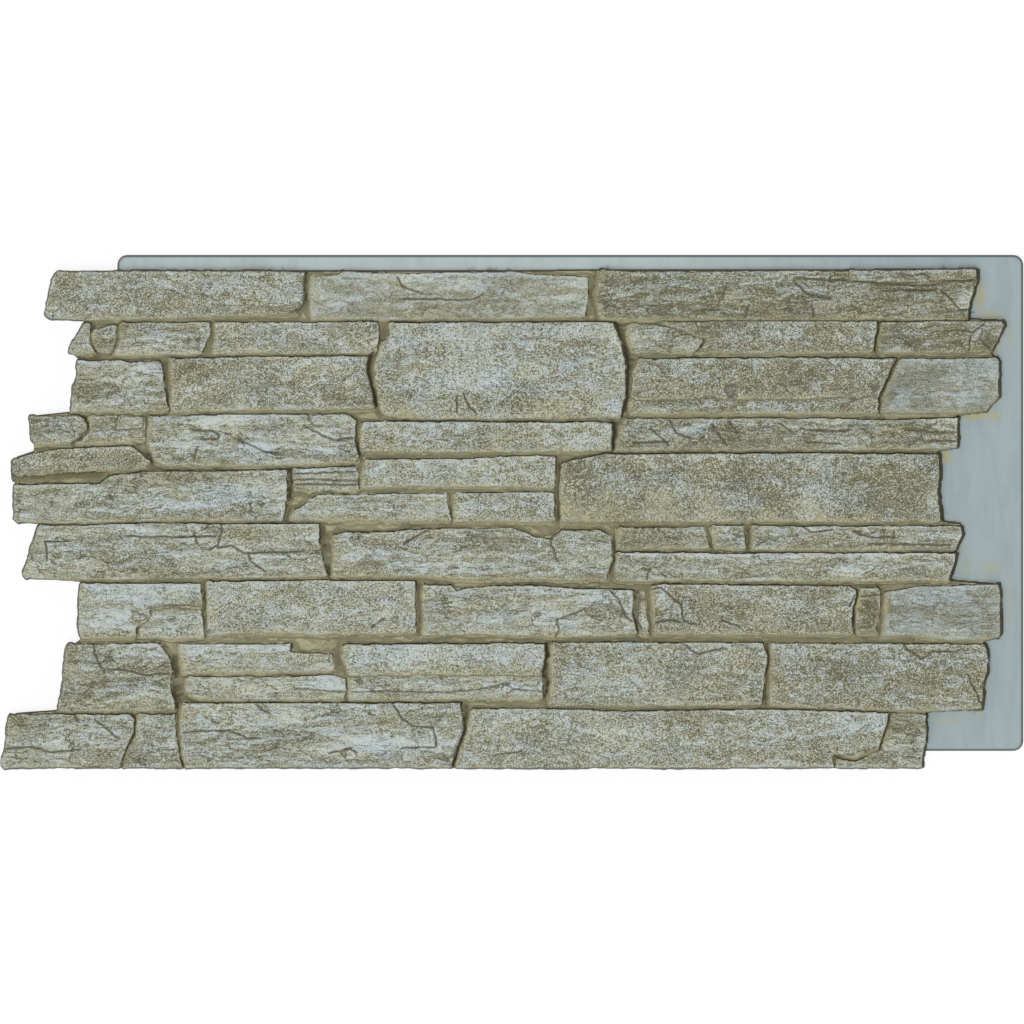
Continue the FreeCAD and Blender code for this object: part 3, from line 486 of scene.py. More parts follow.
height = np.full(gridX.shape, carving["lowest"])
faceDepth = np.full(gridX.shape, -20.0)      # how far inside its stone's outline a point lies
stoneNumber = np.full(gridX.shape, -1)       # -1 on the mortar, -2 on the bare flange
softSide = np.zeros(gridX.shape)             # 1 beside edges that face down or left
crackLine = np.zeros(gridX.shape)

bedInside, _, _ = outlineDistance(gridX, gridY, bedOutline)
bedLevel = panel["bed"] + 0.3 * roughness(21, 5, 3)
outsideBed = smoothStep(0.5, 2.5, -bedInside)
height = np.maximum(height, bedLevel + np.minimum(bedInside, 0) * carving["rimSlope"])


def gridWindow(places, reach):
    # The part of the grid around these places.
    first = (np.min(places, axis=0) - reach + panel["margin"]) / panel["pitch"]
    last = (np.max(places, axis=0) + reach + panel["margin"]) / panel["pitch"]
    firstColumn, firstRow = np.maximum(first.astype(int), 0)
    lastColumn, lastRow = np.minimum(last.astype(int) + 1, (columns, rows))
    return slice(firstRow, lastRow), slice(firstColumn, lastColumn)


def spread(field, cells):
    # Average over the cells around, so that corners turn gently.
    for axis in (0, 1):
        padded = np.pad(field, [(cells, cells) if side == axis else (0, 0) for side in (0, 1)], mode="edge")
        total = sum(np.roll(padded, shift, axis=axis) for shift in range(-cells, cells + 1))
        part = [slice(cells, -cells) if side == axis else slice(None) for side in (0, 1)]
        field = total[tuple(part)] / (2 * cells + 1)
    return field


def carveStone(number, name):
    rise, skinName, _, outline = stones[name]
    skin = skins[skinName]
    window = gridWindow(outline, 9)
    x = gridX[window] + wobbleX[window]
    y = gridY[window] + wobbleY[window]
    inside, outX, outY = outlineDistance(x, y, outline)
    random = np.random.default_rng(100 + number)
    middleX, middleY = (np.min(outline, axis=0) + np.max(outline, axis=0)) / 2
    tiltX = random.uniform(-carving["tiltX"], carving["tiltX"])
    tiltY = random.uniform(-carving["tiltY"], carving["tiltY"])
    turn = random.integers(0, columns)
    layers = np.roll(cleave, turn, axis=1)[window] * skin["steps"]
    chips = np.roll(flakes, turn, axis=1)[window] * skin["flakes"]
    carved = carving["swell"] * swell[window] + terraces(layers + chips, skin["stepHeight"])
    face = panel["bed"] + rise + tiltX * (x - middleX) + tiltY * (y - middleY) + carved
    outer = outsideBed[window]
    soft = spread(1 - smoothStep(-0.3, 0.4, 0.6 * outX + 0.8 * outY), 2)
    leftward = spread(smoothStep(0.2, 0.8, -outX), 3) * outer
    inside = inside - carving["inset"] * (1 - soft) + carving["lowerReach"] * soft * (1 - outer)
    inside = inside + carving["rimOut"] * leftward
    bevel = (carving["bevel"] + carving["lowerBevel"] * soft) * bevelNoise[window]
    rounding = bevel * carving["rounding"] * (1 - np.clip(inside / bevel, 0, 1)) ** 2
    softSlope = rise / carving["jointRun"]
    endSlope = carving["endSlope"] + (carving["flangeSlope"] - carving["endSlope"]) * outer
    steepSlope = carving["topSlope"] + (endSlope - carving["topSlope"]) * smoothStep(0.3, 0.9, outX)
    slope = steepSlope + (softSlope - steepSlope) * soft
    slope = slope + (carving["rimSlope"] - slope) * soft * outer
    highest = panel["depth"] - carving["clearance"]
    stone = np.minimum(face, highest) - rounding + np.minimum(inside, 0) * slope
    higher = stone > height[window]
    height[window][higher] = stone[higher]
    faceDepth[window][higher] = inside[higher]
    stoneNumber[window][higher] = number
    softSide[window][higher] = soft[higher]


def pathDistance(path, window):
    x = gridX[window] + 1.2 * wobbleX[window]
    y = gridY[window] + 1.2 * wobbleY[window]
    gap = np.full(x.shape, 1e9)
    for (ax, ay), (bx, by) in zip(path, path[1:]):
        edgeX = bx - ax
        edgeY = by - ay
        along = np.clip(((x - ax) * edgeX + (y - ay) * edgeY) / (edgeX ** 2 + edgeY ** 2), 0, 1)
        gap = np.minimum(gap, np.hypot(x - ax - along * edgeX, y - ay - along * edgeY))
    return gap


def carveCrack(path, depth):
    window = gridWindow(path, 6)
    gap = pathDistance(path, window)
    height[window] -= depth * np.exp(-(gap / carving["crack"]) ** 2)
    dark = min(1, depth) * np.exp(-(gap / carving["crackDark"]) ** 2)
    crackLine[window] = np.maximum(crackLine[window], dark)


for number, name in enumerate(stones):
    carveStone(number, name)
for depth, paths in cracks.values():
    for path in paths:
        carveCrack(path, depth)


def roundedOutline(corners, radius, steps):
    # The same outline with every corner turned as an arc.
    points = []
    count = len(corners)
    for index, (x, y) in enumerate(corners):
        beforeX, beforeY = corners[index - 1]
        afterX, afterY = corners[(index + 1) % count]
        inX = np.sign(x - beforeX)
        inY = np.sign(y - beforeY)
        outX = np.sign(afterX - x)
        outY = np.sign(afterY - y)
        centreX = x - radius * inX + radius * outX
        centreY = y - radius * inY + radius * outY
        for step in range(steps + 1):
            angle = math.pi / 2 * step / steps
            points.append((
                centreX - radius * outX * math.cos(angle) + radius * inX * math.sin(angle),
                centreY - radius * outY * math.cos(angle) + radius * inY * math.sin(angle)))
    return points


# The bare flange, with its rounded front edge, lies under the stones' feet.
plateOutline = rectangle(panel["lapLeft"], panel["lapBottom"], panel["length"], panel["width"])
roundedPlate = roundedOutline(plateOutline, panel["corner"], 6)
plateInside, _, _ = outlineDistance(gridX, gridY, roundedPlate)
rimGap = np.clip(panel["rim"] - plateInside, 0, panel["rim"])
plateTop = panel["plate"] - panel["rim"] + np.sqrt(panel["rim"] ** 2 - rimGap ** 2)
plateTop = plateTop - 0.05 + 0.03 * roughness(22, 25, 25) * (rimGap == 0)
onFlange = plateTop > height
height = np.maximum(height, plateTop)
stoneNumber[onFlange] = -2

meshing = {
    "triangles": 186500,       # kept of the grid's
    "coveredRight": 1129,      # the bed hides the plate's edge up to here
    "coveredTop": 613,
    "flangeEdge": 9,           # longest edge on the bare flange
    "flangeSlack": 0.6,        # its skin lies this near the plate's face
    "sharp": 50,               # edges this steep, in degrees, stay sharp
}


def gridSolid(name):
    # Closed block under the carved surface.
    front = np.stack([gridX, gridY, height], -1).reshape(-1, 3)
    numbers = np.arange(rows * columns).reshape(rows, columns)
    quads = [np.stack([
        numbers[:-1, :-1], numbers[:-1, 1:], numbers[1:, 1:], numbers[1:, :-1]], -1).reshape(-1, 4)]
    ring = np.concatenate([
        numbers[0, :], numbers[1:, -1], numbers[-1, -2::-1], numbers[-2:0:-1, 0]])
    ringBack = np.arange(len(ring)) + rows * columns
    after = np.roll(np.arange(len(ring)), -1)
    quads.append(np.stack([ring[after], ring, ringBack, ringBack[after]], -1))
    back = front[ring]
    back[:, 2] = carving["below"]
    points = np.concatenate([front, back])
    quads = np.concatenate(quads)
    mesh = bpy.data.meshes.new(name)
    mesh.vertices.add(len(points))
    mesh.vertices.foreach_set("co", points.astype(np.float32).ravel())
    mesh.loops.add(quads.size + len(ring))
    loops = np.concatenate([quads.ravel(), ringBack[::-1]])
    mesh.loops.foreach_set("vertex_index", loops.astype(np.int32))
    starts = np.arange(0, quads.size + 1, 4, dtype=np.int32)
    mesh.polygons.add(len(starts))
    mesh.polygons.foreach_set("loop_start", starts)
    mesh.update(calc_edges=True)
    mesh.validate()
    return mesh


def newPiece(name, mesh):
    piece = bpy.data.objects.new(name, mesh)
    bpy.context.collection.objects.link(piece)
    return piece


def prism(name, outline, low, high):
    mesh = bpy.data.meshes.new(name)
    block = bmesh.new()
    lower = [block.verts.new((x, y, low)) for x, y in outline]
    upper = [block.verts.new((x, y, high)) for x, y in outline]
    block.faces.new(upper)
    block.faces.new(lower[::-1])
    for index in range(len(outline)):
        after = (index + 1) % len(outline)
        block.faces.new((lower[index], lower[after], upper[after], upper[index]))
    bmesh.ops.recalc_face_normals(block, faces=block.faces)
    block.to_mesh(mesh)
    block.free()
    return newPiece(name, mesh)


def applyModifiers(piece):
    graph = bpy.context.evaluated_depsgraph_get()
    mesh = bpy.data.meshes.new_from_object(piece.evaluated_get(graph))
    piece.modifiers.clear()
    piece.data = mesh


def combine(piece, other, operation):
    step = piece.modifiers.new("combine", "BOOLEAN")
    step.operation = operation
    step.solver = "MANIFOLD"
    step.object = other
    applyModifiers(piece)
    bpy.data.objects.remove(other)


def unfold(block):
    # Thinning can leave slivers turned over on the front; they are drawn together.
    for _ in range(6):
        turned = []
        for face in block.faces:
            middle = face.calc_center_median()
            onPlate = middle.x > panel["lapLeft"] + 6 and middle.y > panel["lapBottom"] + 6
            front = middle.z > panel["plate"] + (-meshing["flangeSlack"] if onPlate else 0.3)
            if front and face.normal.z < -0.03:
                turned.append(min(face.edges, key=lambda edge: edge.calc_length()))
        if not turned:
            break
        print("turned faces", len(turned))
        bmesh.ops.collapse(block, edges=list(set(turned)))
        bmesh.ops.dissolve_degenerate(block, dist=0.03, edges=block.edges)
        block.normal_update()


def onFlangeFace(edge):
    levels = [vert.co.z - panel["plate"] for vert in edge.verts]
    return min(levels) > -meshing["flangeSlack"] and max(levels) < meshing["flangeSlack"]


def refineFlange(mesh):
    # The bare flange keeps enough points for its stains.
    block = bmesh.new()
    block.from_mesh(mesh)
    bmesh.ops.dissolve_degenerate(block, dist=0.05, edges=block.edges)
    unfold(block)
    for _ in range(4):
        wide = [
            edge for edge in block.edges
            if onFlangeFace(edge) and edge.calc_length() > meshing["flangeEdge"]
            and edge.link_faces[0].normal.z > 0.5]
        if not wide:
            break
        bmesh.ops.subdivide_edges(block, edges=wide, cuts=1)
        bmesh.ops.triangulate(block, faces=[face for face in block.faces if len(face.verts) > 3])
    bmesh.ops.dissolve_degenerate(block, dist=0.05, edges=block.edges)
    unfold(block)
    block.to_mesh(mesh)
    block.free()


print("making the panel's mesh")
panelPiece = newPiece("stone_panel_skin", gridSolid("stone_panel_skin"))
overhang = rectangle(0.1, 0.1, panel["length"], panel["width"])
covered = rectangle(panel["lapLeft"], panel["lapBottom"], meshing["coveredRight"], meshing["coveredTop"])
# The tops of these three blocks stand well above the stones, each at its own height.
keep = prism("keep", overhang, panel["plate"], 60)
combine(keep, prism("keepPlate", roundedPlate, 0, 50), "UNION")
combine(keep, prism("keepCovered", covered, 0, 45), "UNION")
combine(panelPiece, keep, "INTERSECT")
print("cut out", len(panelPiece.data.polygons))
thin = panelPiece.modifiers.new("thin", "DECIMATE")
present = sum(len(polygon.vertices) - 2 for polygon in panelPiece.data.polygons)
thin.ratio = meshing["triangles"] / max(1, present)
applyModifiers(panelPiece)
print("thinned", len(panelPiece.data.polygons))
refineFlange(panelPiece.data)
print("flange refined", len(panelPiece.data.polygons))

# Wash and dry brush: brown settles in the hollows, pale paint catches the high points. Painted shade darkens
# the creases and deep joints.
print("painting masks")
level = np.maximum(height, panel["bed"] - 2)
riseY, riseX = np.gradient(level, panel["pitch"])
# Painted shade: dark at the foot of steep edges that face up or right, away from the key light, and along
# the listed strokes beside stone ends.
creaseShade = blur(smoothStep(3.6, 5.4, np.hypot(riseX, riseY)) * (1 - softSide), 0.35)
creaseShade = creaseShade * (0.85 + 0.25 * roughness(23, 26, 12))
# The strokes of painted shade beside stone ends join the crease.
for halfWidth, strength, path in paintedShades:
    window = gridWindow(path, 8)
    gap = pathDistance(path, window)
    creaseShade[window] = np.maximum(creaseShade[window], strength * np.exp(-(gap / halfWidth) ** 4))
creaseShade = np.clip(creaseShade, 0, 1)
raised = (level - blur(level, 2.0)) / 0.3
hollow = np.clip(-raised, 0, 1)
proud = np.clip(raised, 0, 1)
ragged = 1.3 * roughness(25, 5, 2.5) * softSide
onFace = smoothStep(-0.7, 0.9, faceDepth + ragged)
fromEdge = np.clip(faceDepth, 0, 50)
lowerEdge = softSide * np.exp(-fromEdge / 5.0)
lowerEdge = lowerEdge * np.clip(1 + 0.8 * roughness(26, 16, 4), 0, 2.5)
wash = 0.9 * hollow * onFace + 0.9 * lowerEdge
for x, y, halfLength, halfHeight, strength in stains:
    window = gridWindow(rectangle(x - halfLength, y - halfHeight, x + halfLength, y + halfHeight), 12)
    distance = ((gridX[window] + 5 * wobbleX[window] - x) / halfLength) ** 2
    distance += ((gridY[window] + 3 * wobbleY[window] - y) / halfHeight) ** 2
    wash[window] += strength * np.exp(-distance ** 1.5)
joint = (1 - onFace) * (stoneNumber != -2) * (1 - outsideBed)
nearJoint = softSide * onFace * (1 - outsideBed) * np.exp(-fromEdge / 3.0)
joint = np.maximum(joint, 0.6 * nearJoint)
flange = (stoneNumber == -2).astype(float)

# Lone points of one stone inside another go to the stone around them.
owner = np.full(gridX.shape, -1)
ownerShare = np.zeros(gridX.shape)
for number, (_, _, _, outline) in enumerate(stones.values()):
    window = gridWindow(outline, 8)
    share = spread((stoneNumber[window] == number).astype(float), 2)
    larger = share > ownerShare[window]
    owner[window] = np.where(larger, number, owner[window])
    ownerShare[window] = np.where(larger, share, ownerShare[window])

# Values that are the same all over one stone; its noise is moved aside by its own shift.
kinds = {kind: np.zeros(gridX.shape) for kind in ("cleft", "combed")}
tone, plates, shiftX, shiftY = np.zeros((4, *gridX.shape))
speckle = np.ones(gridX.shape)
for number, (_, skinName, stoneTone, _) in enumerate(stones.values()):
    here = owner == number
    tone[here] = stoneTone
    random = np.random.default_rng(500 + number)
    shiftX[here] = random.uniform(-1, 1)
    shiftY[here] = random.uniform(-1, 1)
    speckle[here] = skins[skinName]["speckle"]
    plates[here] = skins[skinName]["plates"]
    if skinName in kinds:
        kinds[skinName][here] = 1.0

masks = {
    "wash": wash, "proud": proud, "tone": tone, "cleft": kinds["cleft"], "combed": kinds["combed"],
    "flange": flange, "joint": joint, "creaseShade": creaseShade, "outside": outsideBed, "speckle": speckle,
    "plates": plates, "crackLine": crackLine * onFace,
    # Painted shade in deep, narrow joints.
    "deepShade": smoothStep(0.2, 0.8, (blur(level, 5.0, 0.8) - level) / 4.0),
    "halo": np.exp(np.minimum(bedInside, 0) / 3.5) * (1 + 0.5 * roughness(24, 14, 8)),
    # Painted shade on the flange's rounded rim, and painted light on its top strip.
    "rim": smoothStep(3.6, 1.8, plateInside) * flange,
    "litTopStrip": (
        smoothStep(panel["width"] - 26, panel["width"] - 20, gridY) * smoothStep(1130, 720, gridX)),
}


def gridPlace(points, short):
    # Column and row of the mesh's points, held this far before the grid's ends.
    column = np.clip((points[:, 0] + panel["margin"]) / panel["pitch"], 0, columns - short)
    row = np.clip((points[:, 1] + panel["margin"]) / panel["pitch"], 0, rows - short)
    return column, row


def sample(field, points):
    # Reads a grid field at the mesh's own points.
    column, row = gridPlace(points, 1.001)
    left = column.astype(int)
    low = row.astype(int)
    partX = column - left
    partY = row - low
    return (field[low, left] * (1 - partX) * (1 - partY) + field[low, left + 1] * partX * (1 - partY)
            + field[low + 1, left] * (1 - partX) * partY + field[low + 1, left + 1] * partX * partY)


def addAttribute(name, kind, key, values):
    layer = mesh.attributes.new(name, kind, "POINT")
    layer.data.foreach_set(key, values.astype(np.float32).ravel())


mesh = panelPiece.data
points = np.empty(len(mesh.vertices) * 3)
mesh.vertices.foreach_get("co", points)
points = points.reshape(-1, 3)
for name, field in masks.items():
    addAttribute(name, "FLOAT", "value", sample(field, points))
nearColumn, nearRow = (place.round().astype(int) for place in gridPlace(points, 1))
shift = np.stack([shiftX[nearRow, nearColumn], shiftY[nearRow, nearColumn], np.zeros(len(points))], -1)
addAttribute("shift", "FLOAT_VECTOR", "vector", shift)

metres = (points - np.array([panel["length"] / 2, panel["width"] / 2, 0])) / 1000
mesh.vertices.foreach_set("co", metres.astype(np.float32).ravel())
mesh.update()
mesh.shade_smooth()
mesh.set_sharp_from_angle(angle=math.radians(meshing["sharp"]))

# Paint over foam.
paint = {
    # Painted shade in the creases and beside stone ends.
    "creaseShade": (0.034, 0.029, 0.012),
    # Painted shade on steep walls facing up or right.
    "wall": (0.082, 0.073, 0.038),
    # Painted shade on the panel's outer walls.
    "shadedOuterWall": (0.130, 0.140, 0.125),
    "crack": (0.070, 0.062, 0.034),
    "joint": (0.362, 0.345, 0.212),
    # Darker mortar, for dirt and for painted shade in deep joints.
    "jointDirtAndShade": (0.208, 0.192, 0.113),
    "pore": (0.105, 0.100, 0.062),
    "wash": (0.179, 0.180, 0.129),
    "stone": (0.273, 0.283, 0.236),
    "pale": (0.386, 0.412, 0.370),
    "brush": (0.500, 0.532, 0.500),
    "flange": (0.310, 0.372, 0.388),
    "smear": (0.88, 0.90, 0.90),
    # Painted light on the flange's top strip, painted shade on its rim.
    "litTopStrip": (0.400, 0.470, 0.475),
    "rim": (0.110, 0.140, 0.135),
    "back": (0.380, 0.400, 0.385),
    "cool": (0.93, 1.00, 1.12),
    "warm": (1.055, 1.00, 0.82),
    "roughness": 0.78,
    "gloss": 0.3,
    "bump": 0.0006,
}

# Noise in the paint: lumps a metre, detail, roughness, and the stretch along x and y, which draws the
# lumps out where it is under 1.
noises = {
    "lumps": (430.0, 1.0, 0.5, 0.78, 1.0),
    "strokes": (473.0, 1.5, 0.5, 0.33, 1.0),
    "specks": (688.0, 0.0, 0.5, 1.0, 1.0),
    "wide": (24.0, 2.0, 0.5, 0.5, 1.0),
    "tint": (45.0, 5.0, 0.72, 0.4, 1.0),
    "patchy": (38.0, 1.0, 0.5, 1.0, 1.0),
    "worms": (320.0, 1.0, 0.5, 0.85, 1.0),
    "splits": (256.0, 1.5, 0.5, 0.22, 1.0),
    "lumpy": (55.0, 5.0, 0.66, 0.6, 1.0),
    "layered": (80.0, 5.0, 0.62, 0.26, 1.0),
    "bend": (26.0, 4.0, 0.6, 0.35, 1.0),
    "broken": (90.0, 2.0, 0.5, 0.3, 1.0),
    "warp": (32.0, 4.0, 0.62, 1.0, 1.0),
    "cracked": (30.0, 1.0, 0.5, 1.0, 1.0),
    "dirtAndShade": (70.0, 4.0, 0.65, 0.5, 1.0),
    "smears": (60.0, 3.0, 0.6, 1.0, 0.25),
}


def newMaterial(name):
    # An empty material, and what adds a node with values for its inputs, in their order or by name.
    material = bpy.data.materials.new(name)
    material.use_nodes = True
    tree = material.node_tree
    tree.nodes.clear()

    def node(kind, values=(), **settings):
        made = tree.nodes.new(kind)
        for key, value in settings.items():
            setattr(made, key, value)
        named = values if isinstance(values, dict) else dict(enumerate(values))
        for place, value in named.items():
            if isinstance(value, bpy.types.NodeSocket):
                tree.links.new(value, made.inputs[place])
            else:
                made.inputs[place].default_value = value
        return made

    return material, node


def paintMaterial():
    material, node = newMaterial("painted_foam")

    def attribute(name, output="Fac"):
        return node("ShaderNodeAttribute", attribute_name=name).outputs[output]

    def calculate(operation, *values):
        return node("ShaderNodeMath", values, operation=operation).outputs[0]

    def times(first, second):
        return calculate("MULTIPLY", first, second)

    def rest(value):
        return calculate("SUBTRACT", 1.0, value)

    def vector(operation, *values):
        return node("ShaderNodeVectorMath", values, operation=operation).outputs[0]

    def parts(value):
        return node("ShaderNodeSeparateXYZ", (value,)).outputs

    def summed(start, *terms):
        # The start plus each value times its amount.
        for value, amount in terms:
            start = calculate("MULTIPLY_ADD", value, amount, start)
        return start

    def mixed(amount, first, second):
        return summed(times(first, rest(amount)), (second, amount))

    def rising(value, low, high):
        # 0 at the low value, 1 at the high one.
        made = node("ShaderNodeMapRange", (value, low, high), interpolation_type="SMOOTHSTEP")
        return made.outputs["Result"]

    def blend(amount, first, second):
        first, second = ((*value, 1) if isinstance(value, tuple) else value for value in (first, second))
        values = {"Factor": amount, 6: first, 7: second}
        return node("ShaderNodeMix", values, data_type="RGBA").outputs[2]

    coordinates = node("ShaderNodeTexCoord")
    onPanel = coordinates.outputs["Object"]
    onStone = vector("ADD", onPanel, attribute("shift", "Vector"))

    def noise(name, place=onStone, output="Fac"):
        scale, detail, rough, stretchX, stretchY = noises[name]
        stretched = vector("MULTIPLY", place, (stretchX, stretchY, 1.0))
        values = {"Vector": stretched, "Scale": scale, "Detail": detail, "Roughness": rough}
        return node("ShaderNodeTexNoise", values).outputs[output]

    # Grain in lumps, or in strokes along the course where the stone is cleft or combed, and thin
    # veins through it.
    cleft = attribute("cleft")
    combed = attribute("combed")
    wash = attribute("wash")
    strokeShare = calculate("MINIMUM", summed(combed, (cleft, 0.55)), 1.0)
    grain = mixed(strokeShare, noise("lumps"), noise("strokes"))
    vein = mixed(strokeShare, noise("worms"), noise("splits"))
    vein = calculate("ABSOLUTE", calculate("SUBTRACT", vein, 0.5))
    vein = rest(calculate("MINIMUM", times(vein, 14.0), 1.0))
    vein = times(vein, summed(-0.6, (noise("patchy"), 3.0)))
    vein = calculate("MAXIMUM", calculate("MINIMUM", vein, 1.2), 0.0)

    # Sunk patches with ragged edges hold the brown wash.
    layeredShare = calculate("MINIMUM", calculate("ADD", cleft, combed), 1.0)
    patch = mixed(layeredShare, noise("lumpy"), noise("layered"))
    sunk = rising(summed(patch, (wash, 0.40)), 0.53, 0.60)
    brink = times(sunk, rest(sunk))

    # Thin split lines along the courses.
    layer = calculate("FRACT", summed(0.0, (parts(onStone)["Y"], 170.0), (noise("bend"), 7.0)))
    layer = rising(calculate("ABSOLUTE", calculate("SUBTRACT", layer, 0.5)), 0.12, 0.02)
    layer = times(times(layer, rising(noise("broken"), 0.47, 0.60)), cleft)

    # Plates of split stone, each a little paler or browner, with cracks between some of them.
    warp = vector("SUBTRACT", noise("warp", output="Color"), (0.5, 0.5, 0.5))
    warp = vector("ADD", onStone, vector("MULTIPLY", warp, (0.09, 0.035, 0.0)))
    cells = {"Vector": vector("MULTIPLY", warp, (13.0, 36.0, 0.0)), "Scale": 1.0}
    plate = node("ShaderNodeTexVoronoi", cells, voronoi_dimensions="2D").outputs["Color"]
    plate = times(calculate("SUBTRACT", parts(plate)["X"], 0.5), attribute("plates"))
    borders = node("ShaderNodeTexVoronoi", cells, voronoi_dimensions="2D", feature="DISTANCE_TO_EDGE")
    crack = rising(borders.outputs["Distance"], 0.045, 0.0)
    crack = times(times(crack, rising(noise("cracked"), 0.44, 0.56)), attribute("plates"))

    # From pores to dry brush, with a cooler or warmer hue.
    speckle = summed(-1.3, (grain, 1.0), (noise("specks"), 1.6), (vein, -0.31))
    pale = summed(
        0.41, (times(speckle, attribute("speckle")), 1.0), (noise("wide"), 0.5), (sunk, -0.13),
        (brink, -0.35), (layer, -0.28), (plate, 0.23), (crack, -0.40), (attribute("proud"), 0.18),
        (wash, -0.12), (attribute("tone"), -0.20))
    ramp = node("ShaderNodeValToRGB", {"Fac": pale})
    stops = ((0.0, "pore"), (0.25, "wash"), (0.48, "stone"), (0.74, "pale"), (1.0, "brush"))
    while len(ramp.color_ramp.elements) < len(stops):
        ramp.color_ramp.elements.new(0.5)
    for element, (position, name) in zip(ramp.color_ramp.elements, stops):
        element.position = position
        element.color = (*paint[name], 1)
    warmth = summed(
        -0.60, (noise("tint"), 1.9), (sunk, 0.30), (wash, 0.08), (attribute("tone"), 0.06),
        (combed, -0.30))
    colour = vector("MULTIPLY", ramp.outputs["Color"], blend(warmth, paint["cool"], paint["warm"]))

    # Mortar, darker with dirt and with painted shade in its deep joints, then cracks, then painted shade in
    # the creases along the stones.
    dirtAndShade = rising(noise("dirtAndShade", onPanel), 0.46, 0.70)
    dirtAndShade = calculate("MAXIMUM", times(dirtAndShade, 0.62), attribute("deepShade"))
    dirtAndShade = calculate("SUBTRACT", summed(dirtAndShade, (speckle, -1.5)), 0.12)
    colour = blend(attribute("joint"), colour, blend(dirtAndShade, paint["joint"], paint["jointDirtAndShade"]))
    colour = blend(attribute("crackLine"), colour, paint["crack"])
    # Painted shade in the creases along the stones.
    colour = blend(attribute("creaseShade"), colour, paint["creaseShade"])

    # Bare flange with faint smears, brown beside the stones, painted light on its top strip and painted
    # shade on its rim.
    smears = noise("smears", onPanel)
    bare = blend(attribute("litTopStrip"), paint["flange"], paint["litTopStrip"])
    bare = blend(rising(smears, 0.40, 0.75), bare, vector("MULTIPLY", bare, paint["smear"]))
    bare = blend(times(attribute("halo"), 0.14), bare, paint["joint"])
    bare = blend(times(wash, rising(smears, 0.3, 0.6)), bare, paint["joint"])
    bare = blend(attribute("rim"), bare, paint["rim"])
    colour = blend(attribute("flange"), colour, bare)

    # Steep walls get painted shade: dark brown where they face up or right, away from the key light, dark
    # grey all round the outside.
    across = parts(coordinates.outputs["Normal"])
    flat = node(
        "ShaderNodeVectorTransform", (node("ShaderNodeNewGeometry").outputs["True Normal"],),
        vector_type="NORMAL", convert_from="WORLD", convert_to="OBJECT")
    wall = times(rising(across["Z"], 0.75, 0.45), rising(parts(flat.outputs[0])["Z"], 0.96, 0.80))
    awayFromKey = rising(summed(across["X"], (across["Y"], 1.3)), -0.1, 0.3)
    colour = blend(times(wall, attribute("outside")), colour, paint["shadedOuterWall"])
    colour = blend(times(wall, awayFromKey), colour, paint["wall"])
    colour = blend(rising(across["Z"], -0.3, -0.7), colour, paint["back"])

    relief = summed(
        0.0, (grain, 0.6), (vein, -0.30), (sunk, -0.5), (layer, -0.5), (plate, 1.2), (crack, -0.6))
    relief = times(relief, rest(attribute("flange")))
    bump = node("ShaderNodeBump", {"Strength": 1.0, "Distance": paint["bump"], "Height": relief})
    shader = node("ShaderNodeBsdfPrincipled", {
        "Base Color": colour, "Roughness": paint["roughness"], "Specular IOR Level": paint["gloss"],
        "Normal": bump.outputs["Normal"]})
    node("ShaderNodeOutputMaterial", {"Surface": shader.outputs["BSDF"]})
    return material


mesh.materials.clear()
mesh.materials.append(paintMaterial())
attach(panelPiece, "root")
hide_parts(panel["node"])
print("panel painted")

# Studio: white floor, soft key from the lower left, even sky.
studio = {
    "floorSize": 6.0,
    "floorLevel": -0.0005,
    "floorColour": (0.92, 0.92, 0.92),
    "floorGlow": 0.8,         # share of white that the camera and reflections see
    "sky": 0.44,
    "key": 2.25,
    "keyElevation": 77.0,
    "keyDirection": 225.0,    # degrees from +X, where the key light stands
    "keySoftness": 35.0,
    "keyDistance": 3.0,
    "lens": 400.0,
    "sensor": 36.0,
    "farthest": 50.0,
    "photoWidth": 1.2461,     # metres across the picture, at the level of the flange
    "viewX": 0.0001,
    "viewY": 0.0009,
}


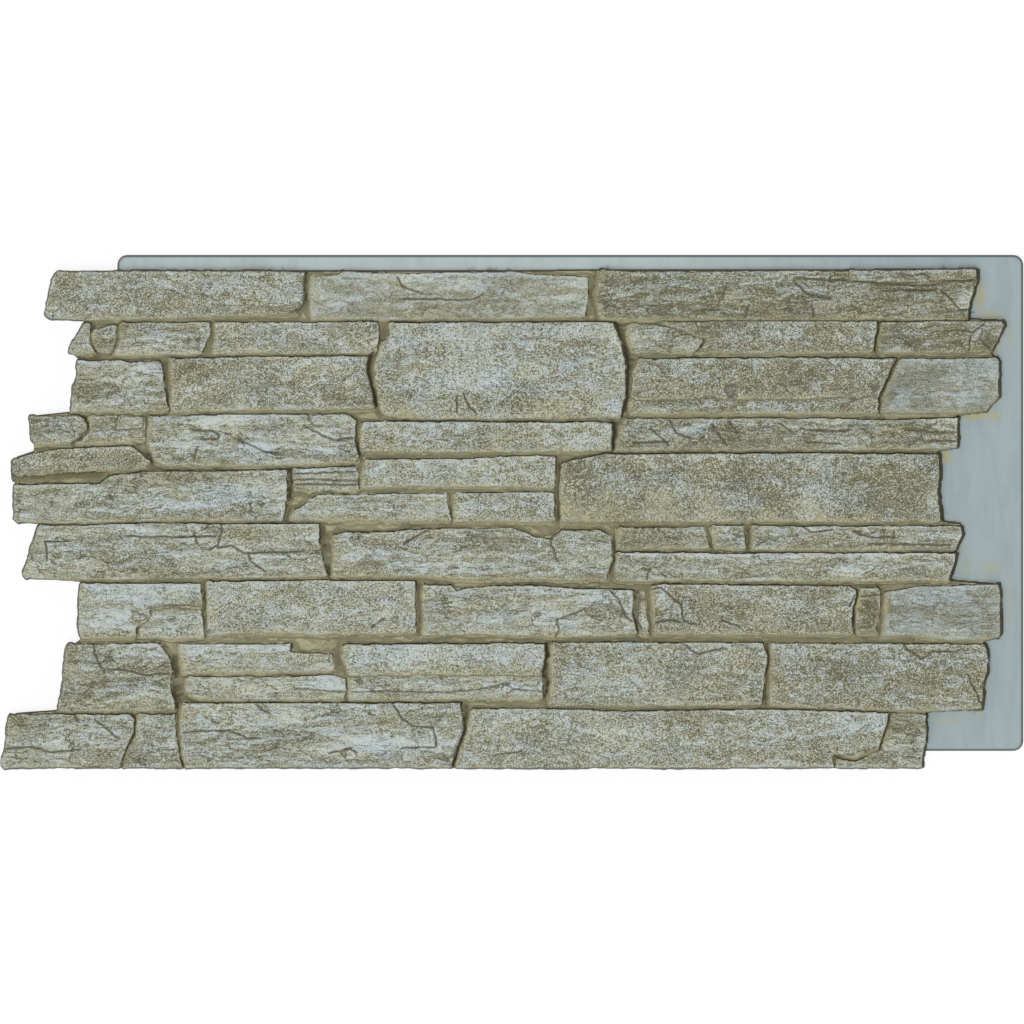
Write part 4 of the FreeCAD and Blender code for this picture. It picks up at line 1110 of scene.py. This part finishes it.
def makeFloor():
    half = studio["floorSize"] / 2
    corners = [(x, y, studio["floorLevel"]) for x, y in rectangle(-half, -half, half, half)]
    mesh = bpy.data.meshes.new("floor")
    mesh.from_pydata(corners, [], [(0, 1, 2, 3)])
    floor = newPiece("floor", mesh)
    material, node = newMaterial("floor_paper")
    rays = node("ShaderNodeLightPath").outputs
    seen = node("ShaderNodeMath", (rays["Is Camera Ray"], rays["Is Glossy Ray"]), operation="MAXIMUM")
    share = node("ShaderNodeMath", (seen.outputs[0], studio["floorGlow"]), operation="MULTIPLY")
    diffuse = node("ShaderNodeBsdfDiffuse", {"Color": (*studio["floorColour"], 1)})
    glow = node("ShaderNodeEmission", {"Color": (1, 1, 1, 1)})
    mix = node("ShaderNodeMixShader", (share.outputs[0], diffuse.outputs[0], glow.outputs[0]))
    node("ShaderNodeOutputMaterial", {"Surface": mix.outputs[0]})
    mesh.materials.append(material)


def makeSky():
    world = bpy.data.worlds.new("sky")
    world.use_nodes = True
    background = world.node_tree.nodes["Background"]
    background.inputs["Color"].default_value = (1, 1, 1, 1)
    background.inputs["Strength"].default_value = studio["sky"]
    bpy.context.scene.world = world


def makeKey():
    light = bpy.data.lights.new("key", "SUN")
    light.energy = studio["key"]
    light.angle = math.radians(studio["keySoftness"])
    lamp = newPiece("key", light)
    elevation = math.radians(studio["keyElevation"])
    direction = math.radians(studio["keyDirection"])
    towards = Vector((
        math.cos(elevation) * math.cos(direction), math.cos(elevation) * math.sin(direction),
        math.sin(elevation)))
    lamp.rotation_euler = towards.to_track_quat("Z", "Y").to_euler()
    lamp.location = towards * studio["keyDistance"]


def makeCamera():
    camera = bpy.data.cameras.new("camera")
    camera.lens = studio["lens"]
    camera.sensor_width = studio["sensor"]
    camera.clip_end = studio["farthest"]
    stand = newPiece("camera", camera)
    distance = studio["photoWidth"] * studio["lens"] / studio["sensor"]
    stand.location = (studio["viewX"], studio["viewY"], distance + panel["plate"] / 1000)
    bpy.context.scene.camera = stand


makeFloor()
makeSky()
makeKey()
makeCamera()
bpy.context.scene.view_settings.view_transform = "Standard"
print("studio ready")
